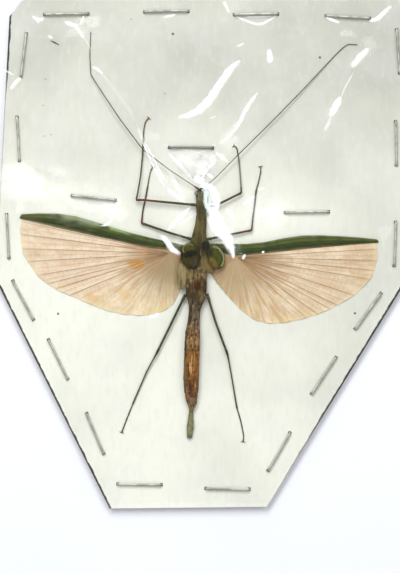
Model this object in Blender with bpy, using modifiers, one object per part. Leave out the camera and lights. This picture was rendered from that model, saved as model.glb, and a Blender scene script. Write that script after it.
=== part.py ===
"""A dried winged stick insect, spread on a cut card under clear film that wire staples hold down.

Lengths are in millimetres and become metres as each mesh is made. +X is the insect's right, +Y is
the way its head points and +Z is up. The origin is on the table, under the middle of the whole.
"""

import math

import bmesh
import bpy
import numpy as np
from mathutils import Matrix, Vector
from mathutils.bvhtree import BVHTree

MM = 0.001
GAP = 0.05  # between neighbouring pieces
SMOOTH_STEPS = 20  # between two given points of a smooth curve

# The card, the film and the staples.
CARD_THICK = 1.0
CARD_CORNERS = [
    (-32.4, 46.9), (-35.5, 43.1), (-38.1, -4.9), (-17.2, -46.9),
    (11.7, -46.6), (38.0, -3.8), (38.1, 43.1), (35.0, 46.9),
]
FILM_THICK = 0.2
FILM_CORNERS = [
    (-33.2, 46.4), (-36.4, 43.3), (-38.1, 8.0), (-37.6, -5.4), (-17.0, -46.3),
    (11.4, -46.1), (37.5, -3.9), (37.6, 42.9), (34.7, 46.4),
]
FILM_STEP = 1.0  # grid of the film before it is thinned
FILM_SAMPLE = 0.25  # grid that feels for what the film lies on
FILM_ROUNDS = 500
FILM_KEEP = 0.09  # share of the film's triangles that are kept
FILM_SKY = 50.0  # height from which it feels downward
FILM_HELD = 1.0, 0.75  # how far past a staple's crown the film lies flat, lengthwise and across
WIRE_THICK, WIRE_WIDE = 0.4, 0.5
STAPLE_LONG = 8.4
STAPLE_CLINCH = 3.4  # how far each leg is folded in, under the card
WIRE_BEND = 0.22  # how far a bend's corner is cut off
SLOT_HIGH = 6.0  # through the card and the film
STAPLE_PLACES = [  # middle of the crown, and its direction in degrees
    (-25.1, 43.5, 1), (-6.8, 44.0, 1), (9.6, 43.5, 1), (26.4, 43.0, -3),
    (35.6, 36.7, 94), (35.2, 19.9, 91), (35.0, 1.5, 88),
    (30.1, -10.8, 54), (22.0, -22.6, 56), (13.8, -36.5, 60),
    (4.4, -43.3, -1), (-11.7, -42.5, -1),
    (-19.8, -33.2, 113), (-26.6, -19.6, 116), (-33.0, -8.8, 118),
    (-35.8, 2.9, 93), (-33.9, 20.7, 93), (-32.9, 36.0, 83),
    (-2.3, 19.1, -1), (-20.1, 9.9, -6), (18.9, 7.3, 1),
]

CARD_UNDER = WIRE_THICK + GAP
CARD_TOP = CARD_UNDER + CARD_THICK
GROUND = CARD_TOP + GAP  # what the insect and the film lie on
CROWN_UNDER = GROUND + FILM_THICK + GAP

# The trunk, from the head back: place along Y, middle in X, width, height, rise above the ground.
RING = 12  # corners around
BELLY_ROUND = 0.75  # 1 for a round belly, less for a flatter one
HEAD = [
    (11.40, -0.78, 0.79, 0.70, 0.30), (11.15, -0.80, 1.16, 1.05, 0.15), (10.60, -0.76, 1.37, 1.25, 0.05),
    (10.00, -0.74, 1.34, 1.25, 0.00), (9.40, -0.73, 1.24, 1.15, 0.00),
]
PROTHORAX = [
    (9.35, -0.73, 1.32, 1.20, 0.0), (8.90, -0.70, 1.45, 1.30, 0.0), (8.00, -0.55, 1.73, 1.40, 0.0),
    (7.05, -0.37, 1.94, 1.50, 0.0),
]
MESOTHORAX = [
    (7.00, -0.37, 1.99, 1.50, 0.0), (5.10, -0.49, 2.21, 1.65, 0.0), (3.70, -0.71, 2.53, 1.75, 0.0),
    (2.60, -0.83, 2.94, 1.75, 0.0), (1.55, -1.05, 3.24, 1.70, 0.0),
]
METATHORAX = [
    (1.50, -1.10, 3.22, 1.65, 0.0), (0.00, -1.30, 3.74, 1.65, 0.0), (-2.60, -1.35, 3.95, 1.65, 0.0),
    (-4.40, -1.32, 4.11, 2.10, 0.0), (-6.40, -1.28, 4.00, 2.25, 0.0), (-7.90, -1.38, 3.98, 2.20, 0.0),
    (-8.90, -1.35, 3.26, 2.10, 0.0), (-9.60, -1.45, 2.65, 1.95, 0.0),
]
ABDOMEN_FRONT = [
    (-9.65, -1.46, 2.81, 1.92, 0.0), (-10.30, -1.59, 2.31, 1.80, 0.0), (-11.50, -1.69, 2.22, 1.75, 0.0),
    (-13.20, -1.86, 2.44, 1.90, 0.0), (-14.60, -1.99, 2.89, 2.10, 0.0), (-17.20, -2.06, 3.05, 2.25, 0.0),
]
ABDOMEN_MIDDLE = [
    (-17.25, -2.06, 3.03, 2.25, 0.0), (-20.50, -2.20, 2.99, 2.25, 0.0), (-23.20, -2.24, 3.05, 2.20, 0.0),
    (-25.20, -2.25, 2.78, 2.05, 0.0),
]
ABDOMEN_TIP = [
    (-25.25, -2.25, 2.76, 2.05, 0.0), (-26.90, -2.23, 2.25, 1.75, 0.0), (-27.70, -2.08, 1.89, 1.50, 0.0),
    (-28.50, -2.17, 1.08, 1.00, 0.1), (-29.20, -2.26, 0.83, 0.80, 0.1), (-30.60, -2.35, 1.08, 0.90, 0.0),
    (-32.00, -2.40, 1.43, 1.00, 0.0), (-33.20, -2.52, 1.10, 0.85, 0.0), (-34.10, -2.55, 0.96, 0.70, 0.0),
]
EYE_RADIUS = 0.36
EYE_ROUND, EYE_RINGS = 12, 8
EYES = {"left": (-1.38, 10.70, 0.85), "right": (-0.20, 10.66, 0.85)}  # height above the ground

# The feelers and legs are paths of (x, y, height of the middle above the ground), from the body out.
# LIMB_LEAST is the thinnest radius that a limb has here. A break in a path is a joint of the limb.
LIMB_LEAST = 0.275
FEELER_LOW = LEG_LOW = LIMB_LEAST + 0.02
FEELERS = {
    "left": (
        [(-1.08, 11.62, 0.85), (-2.6, 12.6, 1.05), (-6.1, 14.9, 1.15), (-11.1, 18.7, 1.15),
         (-15.3, 24.3, 0.95)],
        [(-15.3, 24.3, 0.95), (-18.1, 28.5, 0.7), (-20.6, 32.4, 0.45), (-20.8, 36.0, 0.32),
         (-20.6, 40.3, FEELER_LOW)],
    ),
    "right": (
        [(-0.38, 11.62, 0.85), (0.7, 12.3, 1.0), (2.1, 13.4, 1.1), (6.3, 17.7, 1.15), (12.9, 24.2, 0.8)],
        [(12.9, 24.2, 0.8), (18.7, 30.2, 0.5), (23.7, 35.6, FEELER_LOW), (25.3, 37.2, FEELER_LOW),
         (26.5, 38.1, FEELER_LOW), (28.2, 37.9, FEELER_LOW)],
    ),
}
FEMUR_RADIUS, TIBIA_RADIUS, TARSUS_RADIUS = 0.32, 0.29, LIMB_LEAST
LEGS = {
    "front_left": (
        [(-1.68, 8.6, 0.9), (-12.2, 9.6, 1.0)],
        [(-12.2, 9.6, 1.0), (-11.5, 13.8, 0.75), (-11.1, 18.0, 0.45), (-11.0, 20.8, LEG_LOW)],
        [(-11.0, 20.8, LEG_LOW), (-10.9, 22.5, LEG_LOW), (-10.6, 23.9, LEG_LOW), (-9.9, 24.6, LEG_LOW)],
    ),
    "front_right": (
        [(0.75, 7.85, 0.9), (3.3, 9.0, 0.95), (6.9, 10.8, 0.8)],
        [(6.9, 10.8, 0.8), (6.8, 12.7, 0.6), (6.5, 16.8, LEG_LOW)],
        [(6.5, 16.8, LEG_LOW), (6.3, 17.9, LEG_LOW), (6.1, 19.1, LEG_LOW), (5.4, 19.5, LEG_LOW)],
    ),
    "middle_left": (
        [(-2.6, 2.45, 0.8), (-6.0, 3.45, 0.7), (-11.3, 5.3, 0.45)],
        [(-11.3, 5.3, 0.45), (-11.1, 7.5, LEG_LOW), (-10.5, 10.3, LEG_LOW), (-10.2, 12.0, LEG_LOW)],
        [(-10.2, 12.0, LEG_LOW), (-9.9, 13.8, LEG_LOW), (-9.5, 15.4, LEG_LOW), (-9.1, 15.5, LEG_LOW)],
    ),
    "middle_right": (
        [(1.1, 2.4, 0.8), (5.0, 3.2, 0.75), (8.8, 4.0, 0.6)],
        [(8.8, 4.0, 0.6), (9.0, 6.2, 0.4), (9.4, 9.0, LEG_LOW), (9.6, 11.2, LEG_LOW)],
        [(9.6, 11.2, LEG_LOW), (10.1, 12.9, LEG_LOW), (10.6, 15.3, LEG_LOW), (10.2, 15.5, LEG_LOW)],
    ),
    "hind_left": (
        [(-3.6, -8.35, 0.8), (-8.5, -18.4, 0.7)],
        [(-8.5, -18.4, 0.7), (-10.4, -21.9, 0.5), (-12.9, -27.7, LEG_LOW)],
        [(-12.9, -27.7, LEG_LOW), (-14.3, -31.2, LEG_LOW), (-15.0, -33.1, LEG_LOW)],
    ),
    "hind_right": (
        [(0.85, -8.3, 0.8), (2.2, -12.8, 0.8), (4.4, -18.7, 0.75)],
        [(4.4, -18.7, 0.75), (5.2, -23.1, 0.5), (6.1, -28.5, LEG_LOW)],
        [(6.1, -28.5, LEG_LOW), (6.8, -30.8, LEG_LOW), (7.4, -33.8, LEG_LOW), (7.2, -34.8, LEG_LOW)],
    ),
}

# The wings. A hind wing is a stiff front edge and a fan that opens from a hub near the body.
WING_THICK = 0.5
WING_HIGH, WING_LOW = 0.95, 0.0  # underside at the root and at the tip, above the ground
WING_FALL = 8.0  # distance from the hub in which most of the height is lost
EDGE_STATIONS, MARGIN_STATIONS, FAN_RINGS = 10, 24, 4
EDGE_CROWN = 0.12  # how far the front edge is vaulted
PLEAT = 0.07  # how far the fan's folds rise and fall
HINDWINGS = {
    "left": {
        "hub": (-6.1, -1.2),
        "front": [(-3.6, 1.3), (-6.9, 2.0), (-13.9, 3.7), (-22.3, 6.3), (-26.0, 7.0), (-30.2, 7.1), (-33.4, 6.9)],
        "fold": [(-3.6, 0.6), (-7.3, 0.8), (-10.4, 1.1), (-18.6, 2.7), (-27.9, 5.0), (-33.6, 6.3)],
        "margin": [
            (-33.9, 5.2), (-33.9, 2.7), (-33.4, -0.3), (-31.6, -3.2), (-28.6, -6.2), (-23.0, -8.8),
            (-17.4, -11.0), (-12.0, -11.8), (-8.3, -11.3), (-5.8, -9.9), (-4.1, -6.9), (-3.6, -4.2),
        ],
    },
    "right": {
        "hub": (5.0, -1.6),
        "front": [(0.95, 1.6), (7.8, 1.5), (12.2, 2.0), (15.9, 2.8), (20.0, 3.1), (26.9, 2.8), (31.9, 2.3)],
        "fold": [(0.95, 0.4), (5.8, -0.4), (9.8, -0.2), (19.6, 0.8), (29.3, 1.7), (32.0, 1.9)],
        "margin": [
            (32.2, 0.8), (32.0, -2.4), (30.3, -5.8), (26.9, -8.7), (21.5, -11.4), (16.1, -12.9),
            (11.5, -13.2), (8.3, -11.9), (4.9, -8.7), (1.9, -5.1), (1.0, -3.3),
        ],
    },
}
FOREWING_UNDER = 1.75  # above the ground
FOREWINGS = {  # middle, half length, half width, dome height, direction of the long axis in degrees
    "left": ((-2.35, -0.75), 2.55, 1.85, 0.85, 104),
    "right": ((2.25, -0.95), 2.40, 1.65, 0.80, 112),
}
DOME_ROUND, DOME_RINGS = 18, 8
DOME_CUT = 0.02  # where the dome is cut off, above its widest ring of corners

COLOURS = {  # linear red, green and blue, roughness, metallic
    "card": ((0.70, 0.71, 0.63), 0.85, 0.0),
    "film": ((0.90, 0.92, 0.92), 0.10, 0.0),
    "staple": ((0.42, 0.41, 0.39), 0.35, 1.0),
    "trunk": ((0.14, 0.12, 0.04), 0.60, 0.0),
    "abdomen": ((0.24, 0.10, 0.03), 0.55, 0.0),
    "eye": ((0.12, 0.11, 0.09), 0.25, 0.0),
    "limb": ((0.07, 0.05, 0.02), 0.55, 0.0),
    "forewing": ((0.06, 0.10, 0.02), 0.50, 0.0),
    "edge": ((0.04, 0.12, 0.02), 0.50, 0.0),
    "fan": ((0.72, 0.50, 0.34), 0.45, 0.0),
}

for old in list(bpy.data.objects):
    bpy.data.objects.remove(old)


def collection(name):
    made = bpy.data.collections.new(name)
    bpy.context.scene.collection.children.link(made)
    return made


PARTS = collection("mounted_stick_insect")
CUTTERS = collection("cutters")
MOUNT = bpy.data.objects.new("mount", None)
PARTS.objects.link(MOUNT)


def finish(kind):
    """The material of one kind of piece."""
    if kind in bpy.data.materials:
        return bpy.data.materials[kind]
    colour, roughness, metallic = COLOURS[kind]
    made = bpy.data.materials.new(kind)
    made.use_nodes = True
    shader = made.node_tree.nodes["Principled BSDF"]
    shader.inputs["Base Color"].default_value = (*colour, 1)
    shader.inputs["Roughness"].default_value = roughness
    shader.inputs["Metallic"].default_value = metallic
    return made


def add_part(name, bm, kind, origin=(0, 0, 0)):
    """Makes an object of a mesh that is modelled in place, in millimetres, with its origin where asked."""
    bmesh.ops.recalc_face_normals(bm, faces=bm.faces)
    bmesh.ops.translate(bm, verts=bm.verts, vec=-Vector(origin))
    bmesh.ops.scale(bm, verts=bm.verts, vec=(MM, MM, MM))
    mesh = bpy.data.meshes.new(name)
    bm.to_mesh(mesh)
    bm.free()
    mesh.materials.append(finish(kind))
    part = bpy.data.objects.new(name, mesh)
    part.location = Vector(origin) * MM
    part.parent = MOUNT
    PARTS.objects.link(part)
    return part


def curve_mesh(curve):
    """The mesh of a curve, with its caps welded to its sides."""
    holder = bpy.data.objects.new("curve", curve)
    PARTS.objects.link(holder)
    shape = bpy.data.meshes.new_from_object(holder.evaluated_get(bpy.context.evaluated_depsgraph_get()))
    bpy.data.objects.remove(holder)
    bm = bmesh.new()
    bm.from_mesh(shape)
    bmesh.ops.remove_doubles(bm, verts=bm.verts, dist=1e-4)
    bpy.data.meshes.remove(shape)
    return bm


def spline(curve, points, radii=None):
    line = curve.splines.new("POLY")
    line.points.add(len(points) - 1)
    for i, (x, y, z) in enumerate(points):
        line.points[i].co = (x, y, z, 1)
        line.points[i].radius = radii[i] if radii else 1
    return line


def flat_solid(outline, thick):
    """A flat outline with straight walls, its lower face at z = 0."""
    curve = bpy.data.curves.new("outline", "CURVE")
    curve.dimensions = "2D"
    curve.fill_mode = "BOTH"
    curve.extrude = thick / 2
    spline(curve, [(x, y, 0) for x, y in outline]).use_cyclic_u = True
    bm = curve_mesh(curve)
    bmesh.ops.translate(bm, verts=bm.verts, vec=(0, 0, thick / 2))
    return bm


def tube(points, radii):
    """A round bar along a path, with filled ends."""
    curve = bpy.data.curves.new("path", "CURVE")
    curve.dimensions = "3D"
    curve.bevel_depth = 1
    curve.bevel_resolution = 2
    curve.use_fill_caps = True
    spline(curve, points, radii)
    return curve_mesh(curve)


def trim(bm, point, normal):
    """Cuts off what lies past a plane and closes the cut."""
    cut = bmesh.ops.bisect_plane(
        bm, geom=bm.verts[:] + bm.edges[:] + bm.faces[:], plane_co=point, plane_no=normal, clear_outer=True
    )
    edges = [e for e in cut["geom_cut"] if isinstance(e, bmesh.types.BMEdge)]
    bmesh.ops.edgeloop_fill(bm, edges=edges)


def loft(rings):
    """A closed solid through rings of equally many points, with flat ends."""
    bm = bmesh.new()
    loops = [[bm.verts.new(p) for p in ring] for ring in rings]
    for near, far in zip(loops, loops[1:]):
        for i in range(len(near)):
            j = (i + 1) % len(near)
            bm.faces.new((near[i], near[j], far[j], far[i]))
    bm.faces.new(loops[0])
    bm.faces.new(reversed(loops[-1]))
    return bm


def smooth(points, count):
    """Points spread evenly along a smooth curve through the given ones."""
    given = np.array(points, float)
    ends = np.vstack([2 * given[0] - given[1], given, 2 * given[-1] - given[-2]])
    fine = []
    for i in range(1, len(ends) - 2):
        a, b, c, d = ends[i - 1: i + 3]
        for t in np.linspace(0, 1, SMOOTH_STEPS, endpoint=False):
            fine.append(0.5 * (2 * b + (c - a) * t + (2 * a - 5 * b + 4 * c - d) * t**2
                               + (3 * b - a - 3 * c + d) * t**3))
    fine = np.array(fine + [given[-1]])
    walked = np.concatenate([[0], np.cumsum(np.linalg.norm(np.diff(fine, axis=0), axis=1))])
    at = np.linspace(0, walked[-1], count)
    return np.stack([np.interp(at, walked, fine[:, k]) for k in range(fine.shape[1])], axis=1)


# The card and the staples.


def place_of(staple):
    x, y, turn = staple
    return Matrix.Translation((x, y, 0)) @ Matrix.Rotation(math.radians(turn), 4, "Z")


def make_slots():
    """Boxes where the staples' legs go through the card and the film."""
    bm = bmesh.new()
    inset = (STAPLE_LONG - WIRE_THICK) / 2
    size = Matrix.Diagonal((WIRE_THICK + 2 * GAP, WIRE_WIDE + 2 * GAP, SLOT_HIGH, 1))
    for staple in STAPLE_PLACES:
        for side in (-1, 1):
            leg = place_of(staple) @ Matrix.Translation((side * inset, 0, 0))
            bmesh.ops.create_cube(bm, size=1, matrix=leg @ size)
    slots = add_part("slots", bm, "staple")
    PARTS.objects.unlink(slots)
    CUTTERS.objects.link(slots)
    slots.hide_render = True
    slots.display_type = "WIRE"
    return slots


def cut_slots(part, slots):
    cut = part.modifiers.new("slots", "BOOLEAN")
    cut.operation = "DIFFERENCE"
    cut.object = slots


def make_card(slots):
    bm = flat_solid(CARD_CORNERS, CARD_THICK)
    bmesh.ops.translate(bm, verts=bm.verts, vec=(0, 0, CARD_UNDER))
    cut_slots(add_part("card", bm, "card"), slots)


def staple_outline():
    """The bent wire seen from its side: the crown above, the two legs folded in below."""
    half, top = STAPLE_LONG / 2, CROWN_UNDER + WIRE_THICK
    right = [
        (half - WIRE_BEND, top), (half, top - WIRE_BEND), (half, WIRE_BEND), (half - WIRE_BEND, 0),
        (half - STAPLE_CLINCH, 0), (half - STAPLE_CLINCH, WIRE_THICK),
        (half - WIRE_THICK, WIRE_THICK), (half - WIRE_THICK, CROWN_UNDER),
    ]
    return right + [(-x, z) for x, z in reversed(right)]


def make_staples():
    """One bent wire, copied to each place."""
    bm = flat_solid(staple_outline(), WIRE_WIDE)
    bmesh.ops.translate(bm, verts=bm.verts, vec=(0, 0, -WIRE_WIDE / 2))
    bmesh.ops.rotate(bm, verts=bm.verts, matrix=Matrix.Rotation(math.radians(90), 3, "X"))
    first = add_part("staple_01", bm, "staple")
    for i, staple in enumerate(STAPLE_PLACES):
        part = first if i == 0 else bpy.data.objects.new(f"staple_{i + 1:02d}", first.data)
        if i:
            part.parent = MOUNT
            PARTS.objects.link(part)
        x, y, turn = staple
        part.location = (x * MM, y * MM, 0)
        part.rotation_euler = (0, 0, math.radians(turn))


# The insect.


def trunk_ring(station):
    """An upright oval with a flatter belly."""
    y, middle, width, height, rise = station
    ring = []
    for i in range(RING):
        turn = 2 * math.pi * (i + 0.5) / RING
        up = math.sin(turn)
        up = up if up > 0 else -abs(up) ** BELLY_ROUND
        ring.append((middle + width / 2 * math.cos(turn), y, GROUND + rise + height / 2 * (1 + up)))
    return ring


def make_trunk(name, stations, kind):
    rings = [trunk_ring(s) for s in stations]
    y, middle, _, height, rise = stations[0]
    return add_part(name, loft(rings), kind, (middle, y, GROUND + rise + height / 2))


def make_head():
    """The head, with a socket for each eye."""
    head = make_trunk("head", HEAD, "trunk")
    for side, (x, y, up) in EYES.items():
        for name, radius in ((f"eye_{side}", EYE_RADIUS), (f"socket_{side}", EYE_RADIUS + GAP)):
            bm = bmesh.new()
            bmesh.ops.create_uvsphere(bm, u_segments=EYE_ROUND, v_segments=EYE_RINGS, radius=radius)
            middle = (x, y, GROUND + up)
            bmesh.ops.translate(bm, verts=bm.verts, vec=middle)
            ball = add_part(name, bm, "eye", middle)
            if name.startswith("socket"):
                PARTS.objects.unlink(ball)
                CUTTERS.objects.link(ball)
                ball.hide_render = True
                ball.display_type = "WIRE"
                cut = head.modifiers.new(name, "BOOLEAN")
                cut.operation = "DIFFERENCE"
                cut.object = ball


def in_space(path):
    return [Vector((x, y, GROUND + up)) for x, y, up in path]


def make_limb(names, lengths, radii, kind):
    """A limb in lengths that are cut on the half angle where they meet."""
    paths = [in_space(path) for path in lengths]
    for i, path in enumerate(paths):
        path = path[:]
        cuts = []
        for at_end in (False, True):
            meets = i + 1 < len(paths) if at_end else i > 0
            if not meets:
                continue
            near = (path[-1] - path[-2]) if at_end else (path[0] - path[1])
            other = paths[i + 1] if at_end else paths[i - 1]
            far = (other[1] - other[0]) if at_end else (other[-2] - other[-1])
            normal = (near.normalized() - far.normalized() * -1).normalized()
            end = -1 if at_end else 0
            cuts.append((path[end] - normal * GAP / 2, normal))
            path[end] = path[end] + near.normalized() * radii[i][1] * 2
        sizes = np.linspace(radii[i][0], radii[i][1], len(path))
        bm = tube(path, [float(s) for s in sizes])
        for point, normal in cuts:
            trim(bm, point, normal)
        add_part(names[i], bm, kind, paths[i][0])


def make_feelers():
    for side, lengths in FEELERS.items():
        names = [f"antenna_{side}_base", f"antenna_{side}_tip"]
        make_limb(names, lengths, [(LIMB_LEAST, LIMB_LEAST)] * 2, "limb")


def make_legs():
    radii = [(FEMUR_RADIUS, FEMUR_RADIUS), (TIBIA_RADIUS, TIBIA_RADIUS), (TARSUS_RADIUS, TARSUS_RADIUS)]
    for where, lengths in LEGS.items():
        make_limb([f"leg_{where}_{piece}" for piece in ("femur", "tibia", "tarsus")], lengths, radii, "limb")


def wing_height(x, y, hub):
    """The wings slope down from the body to lie on the card."""
    away = math.hypot(x - hub[0], y - hub[1]) if abs(x) > abs(hub[0]) else 0
    return GROUND + WING_LOW + (WING_HIGH - WING_LOW) * math.exp(-((away / WING_FALL) ** 2))


def raise_solid(bm, thick):
    """Gives a sheet of faces straight walls and a thickness."""
    upper = bmesh.ops.extrude_face_region(bm, geom=bm.faces[:])["geom"]
    bmesh.ops.translate(bm, verts=[v for v in upper if isinstance(v, bmesh.types.BMVert)], vec=(0, 0, thick))
    return bm


def make_hindwing(side, wing):
    hub, fold = wing["hub"], smooth(wing["fold"], EDGE_STATIONS)
    front = smooth(wing["front"], EDGE_STATIONS)

    edge = bmesh.new()
    rows = []
    for (fx, fy), (bx, by) in zip(front, fold):
        by += GAP
        middle = ((fx + bx) / 2, (fy + by) / 2)
        rise = wing_height(*middle, hub) + EDGE_CROWN
        rows.append([
            edge.verts.new((fx, fy, wing_height(fx, fy, hub))),
            edge.verts.new((*middle, rise)),
            edge.verts.new((bx, by, wing_height(bx, by, hub))),
        ])
    for near, far in zip(rows, rows[1:]):
        for i in (0, 1):
            edge.faces.new((near[i], near[i + 1], far[i + 1], far[i]))
    add_part(f"hindwing_edge_{side}", raise_solid(edge, WING_THICK), "edge", (*fold[0], GROUND + WING_HIGH))

    outline = list(fold) + list(smooth(wing["margin"], MARGIN_STATIONS))
    fan = bmesh.new()
    middle = fan.verts.new((*hub, wing_height(*hub, hub)))
    rings = []
    for k in range(1, FAN_RINGS + 1):
        share = k / FAN_RINGS
        ring = []
        for i, (x, y) in enumerate(outline):
            px, py = hub[0] + (x - hub[0]) * share, hub[1] + (y - hub[1]) * share
            folded = PLEAT * share * (i % 2) if i >= len(fold) else 0
            ring.append(fan.verts.new((px, py, wing_height(px, py, hub) + folded)))
        rings.append(ring)
    count = len(outline)
    for i in range(count):
        j = (i + 1) % count
        fan.faces.new((middle, rings[0][i], rings[0][j]))
        for inner, outer in zip(rings, rings[1:]):
            fan.faces.new((inner[i], outer[i], outer[j], inner[j]))
    add_part(f"hindwing_fan_{side}", raise_solid(fan, WING_THICK), "fan", (*hub, GROUND + WING_HIGH))


def make_forewing(side, forewing):
    """A short domed wing case, flat below."""
    (x, y), half_long, half_wide, dome, turn = forewing
    bm = bmesh.new()
    bmesh.ops.create_uvsphere(bm, u_segments=DOME_ROUND, v_segments=DOME_RINGS, radius=1)
    bmesh.ops.scale(bm, verts=bm.verts, vec=(half_long, half_wide, dome))
    trim(bm, (0, 0, DOME_CUT), (0, 0, -1))
    bmesh.ops.rotate(bm, verts=bm.verts, matrix=Matrix.Rotation(math.radians(turn), 3, "Z"))
    middle = (x, y, GROUND + FOREWING_UNDER)
    bmesh.ops.translate(bm, verts=bm.verts, vec=middle)
    add_part(f"forewing_{side}", bm, "forewing", middle)


# The film.


def felt_heights(parts):
    """How high the insect reaches above the ground at each point of the film's grid, to one step around it."""
    points, faces = [], []
    for part in parts:
        start = len(points)
        points += [part.matrix_world @ v.co / MM for v in part.data.vertices]
        faces += [[start + i for i in face.vertices] for face in part.data.polygons]
    tree = BVHTree.FromPolygons(points, faces)
    fine_x, fine_y = (np.arange(low, high + FILM_SAMPLE / 2, FILM_SAMPLE) for low, high in film_limits())
    high = np.zeros((len(fine_x), len(fine_y)))
    for i, x in enumerate(fine_x):
        for j, y in enumerate(fine_y):
            hit = tree.ray_cast(Vector((x, y, FILM_SKY)), Vector((0, 0, -1)))[0]
            if hit:
                high[i, j] = hit.z - GROUND + 2 * GAP
    step = round(FILM_STEP / FILM_SAMPLE)
    padded = np.pad(high, step)
    widest = np.zeros_like(high)
    for a in range(2 * step + 1):
        for b in range(2 * step + 1):
            widest = np.maximum(widest, padded[a:a + high.shape[0], b:b + high.shape[1]])
    return widest[::step, ::step]


def film_limits():
    """The grid's lowest and highest X and Y, on whole steps."""
    corners = np.array(FILM_CORNERS)
    return [(math.floor(c.min() / FILM_STEP) * FILM_STEP, math.ceil(c.max() / FILM_STEP) * FILM_STEP)
            for c in corners.T]


def held_down(xs, ys):
    """True where a staple or the film's rim keeps the film on the card."""
    held = np.zeros((len(xs), len(ys)), bool)
    held[[0, -1], :] = held[:, [0, -1]] = True
    past_end, past_side = FILM_HELD
    for x, y, turn in STAPLE_PLACES:
        along = Vector((math.cos(math.radians(turn)), math.sin(math.radians(turn))))
        for i, px in enumerate(xs):
            for j, py in enumerate(ys):
                off = Vector((px - x, py - y))
                lengthwise, across = abs(off.dot(along)), abs(off.cross(along))
                if lengthwise < STAPLE_LONG / 2 + past_end and across < WIRE_WIDE / 2 + past_side:
                    held[i, j] = True
    return held


def relaxed(lying_on, held):
    """A stretched skin over what it lies on, drawn down where it is held."""
    height = np.where(held, 0, lying_on)
    for _ in range(FILM_ROUNDS):
        around = [np.roll(height, step, axis) for step in (-1, 1) for axis in (0, 1)]
        mean = sum(around) / len(around)
        height = np.where(held, 0, np.maximum(mean, lying_on))
    return height


def make_film(parts, slots):
    (x0, x1), (y0, y1) = film_limits()
    xs, ys = np.arange(x0, x1 + FILM_STEP / 2, FILM_STEP), np.arange(y0, y1 + FILM_STEP / 2, FILM_STEP)
    height = relaxed(felt_heights(parts), held_down(xs, ys))
    bm = bmesh.new()
    bmesh.ops.create_grid(bm, x_segments=len(xs) - 1, y_segments=len(ys) - 1, size=0.5)
    for v in bm.verts:
        i, j = round((v.co.x + 0.5) * (len(xs) - 1)), round((v.co.y + 0.5) * (len(ys) - 1))
        v.co = (xs[i], ys[j], GROUND + height[i, j])
    corners = FILM_CORNERS
    for (ax, ay), (bx, by) in zip(corners, corners[1:] + corners[:1]):
        bmesh.ops.bisect_plane(
            bm, geom=bm.verts[:] + bm.edges[:] + bm.faces[:], plane_co=(ax, ay, 0),
            plane_no=(by - ay, ax - bx, 0), clear_outer=True,
        )
    film = add_part("film", bm, "film", (0, 0, GROUND))
    thin = film.modifiers.new("thin", "DECIMATE")
    thin.ratio = FILM_KEEP
    wall = film.modifiers.new("wall", "SOLIDIFY")
    wall.thickness = FILM_THICK * MM
    wall.offset = 1
    cut_slots(film, slots)


def main():
    slots = make_slots()
    make_card(slots)
    make_staples()
    make_head()
    for name, stations, kind in (
        ("prothorax", PROTHORAX, "trunk"),
        ("mesothorax", MESOTHORAX, "trunk"),
        ("metathorax", METATHORAX, "trunk"),
        ("abdomen_front", ABDOMEN_FRONT, "abdomen"),
        ("abdomen_middle", ABDOMEN_MIDDLE, "abdomen"),
        ("abdomen_tip", ABDOMEN_TIP, "abdomen"),
    ):
        make_trunk(name, stations, kind)
    make_feelers()
    make_legs()
    for side, wing in HINDWINGS.items():
        make_hindwing(side, wing)
    for side, forewing in FOREWINGS.items():
        make_forewing(side, forewing)
    bpy.context.view_layer.update()
    mount = ("card", "staple")
    insect = [o for o in PARTS.objects if o.type == "MESH" and not o.name.startswith(mount)]
    make_film(insect, slots)


main()
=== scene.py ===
"""The look of a dried winged stick insect on a cut card, under clear film that wire staples hold down.

Pieces are modelled in millimetres, in the frame's own places, and settle() turns them into metres.
+X is the insect's right, +Y is the way its head points and +Z is up.
"""

import math

import bpy
import numpy as np
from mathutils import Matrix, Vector, noise
from mathutils.bvhtree import BVHTree


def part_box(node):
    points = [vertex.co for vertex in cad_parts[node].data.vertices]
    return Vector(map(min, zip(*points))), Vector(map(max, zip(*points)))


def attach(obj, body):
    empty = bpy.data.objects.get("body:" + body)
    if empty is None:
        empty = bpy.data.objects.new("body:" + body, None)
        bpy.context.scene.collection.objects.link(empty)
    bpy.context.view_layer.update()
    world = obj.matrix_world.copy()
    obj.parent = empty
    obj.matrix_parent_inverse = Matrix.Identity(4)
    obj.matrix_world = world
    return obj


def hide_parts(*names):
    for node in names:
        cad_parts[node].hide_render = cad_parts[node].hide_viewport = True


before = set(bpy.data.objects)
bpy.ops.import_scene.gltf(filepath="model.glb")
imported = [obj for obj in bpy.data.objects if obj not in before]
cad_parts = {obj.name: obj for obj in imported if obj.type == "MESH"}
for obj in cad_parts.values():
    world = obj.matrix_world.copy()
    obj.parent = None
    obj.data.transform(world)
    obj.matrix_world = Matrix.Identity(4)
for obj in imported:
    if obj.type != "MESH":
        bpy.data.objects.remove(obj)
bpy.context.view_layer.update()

MM = 0.001
UP = Vector((0, 0, 1))

TRUNK = ["head", "prothorax", "mesothorax", "metathorax", "abdomen_front", "abdomen_middle", "abdomen_tip"]
LEGS = [f"leg_{row}_{side}" for row in ("front", "middle", "hind") for side in ("left", "right")]
LEG_PIECES = ("femur", "tibia", "tarsus")
SIDES = ("left", "right")
WELD = 1e-5  # how near corners are merged

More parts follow.
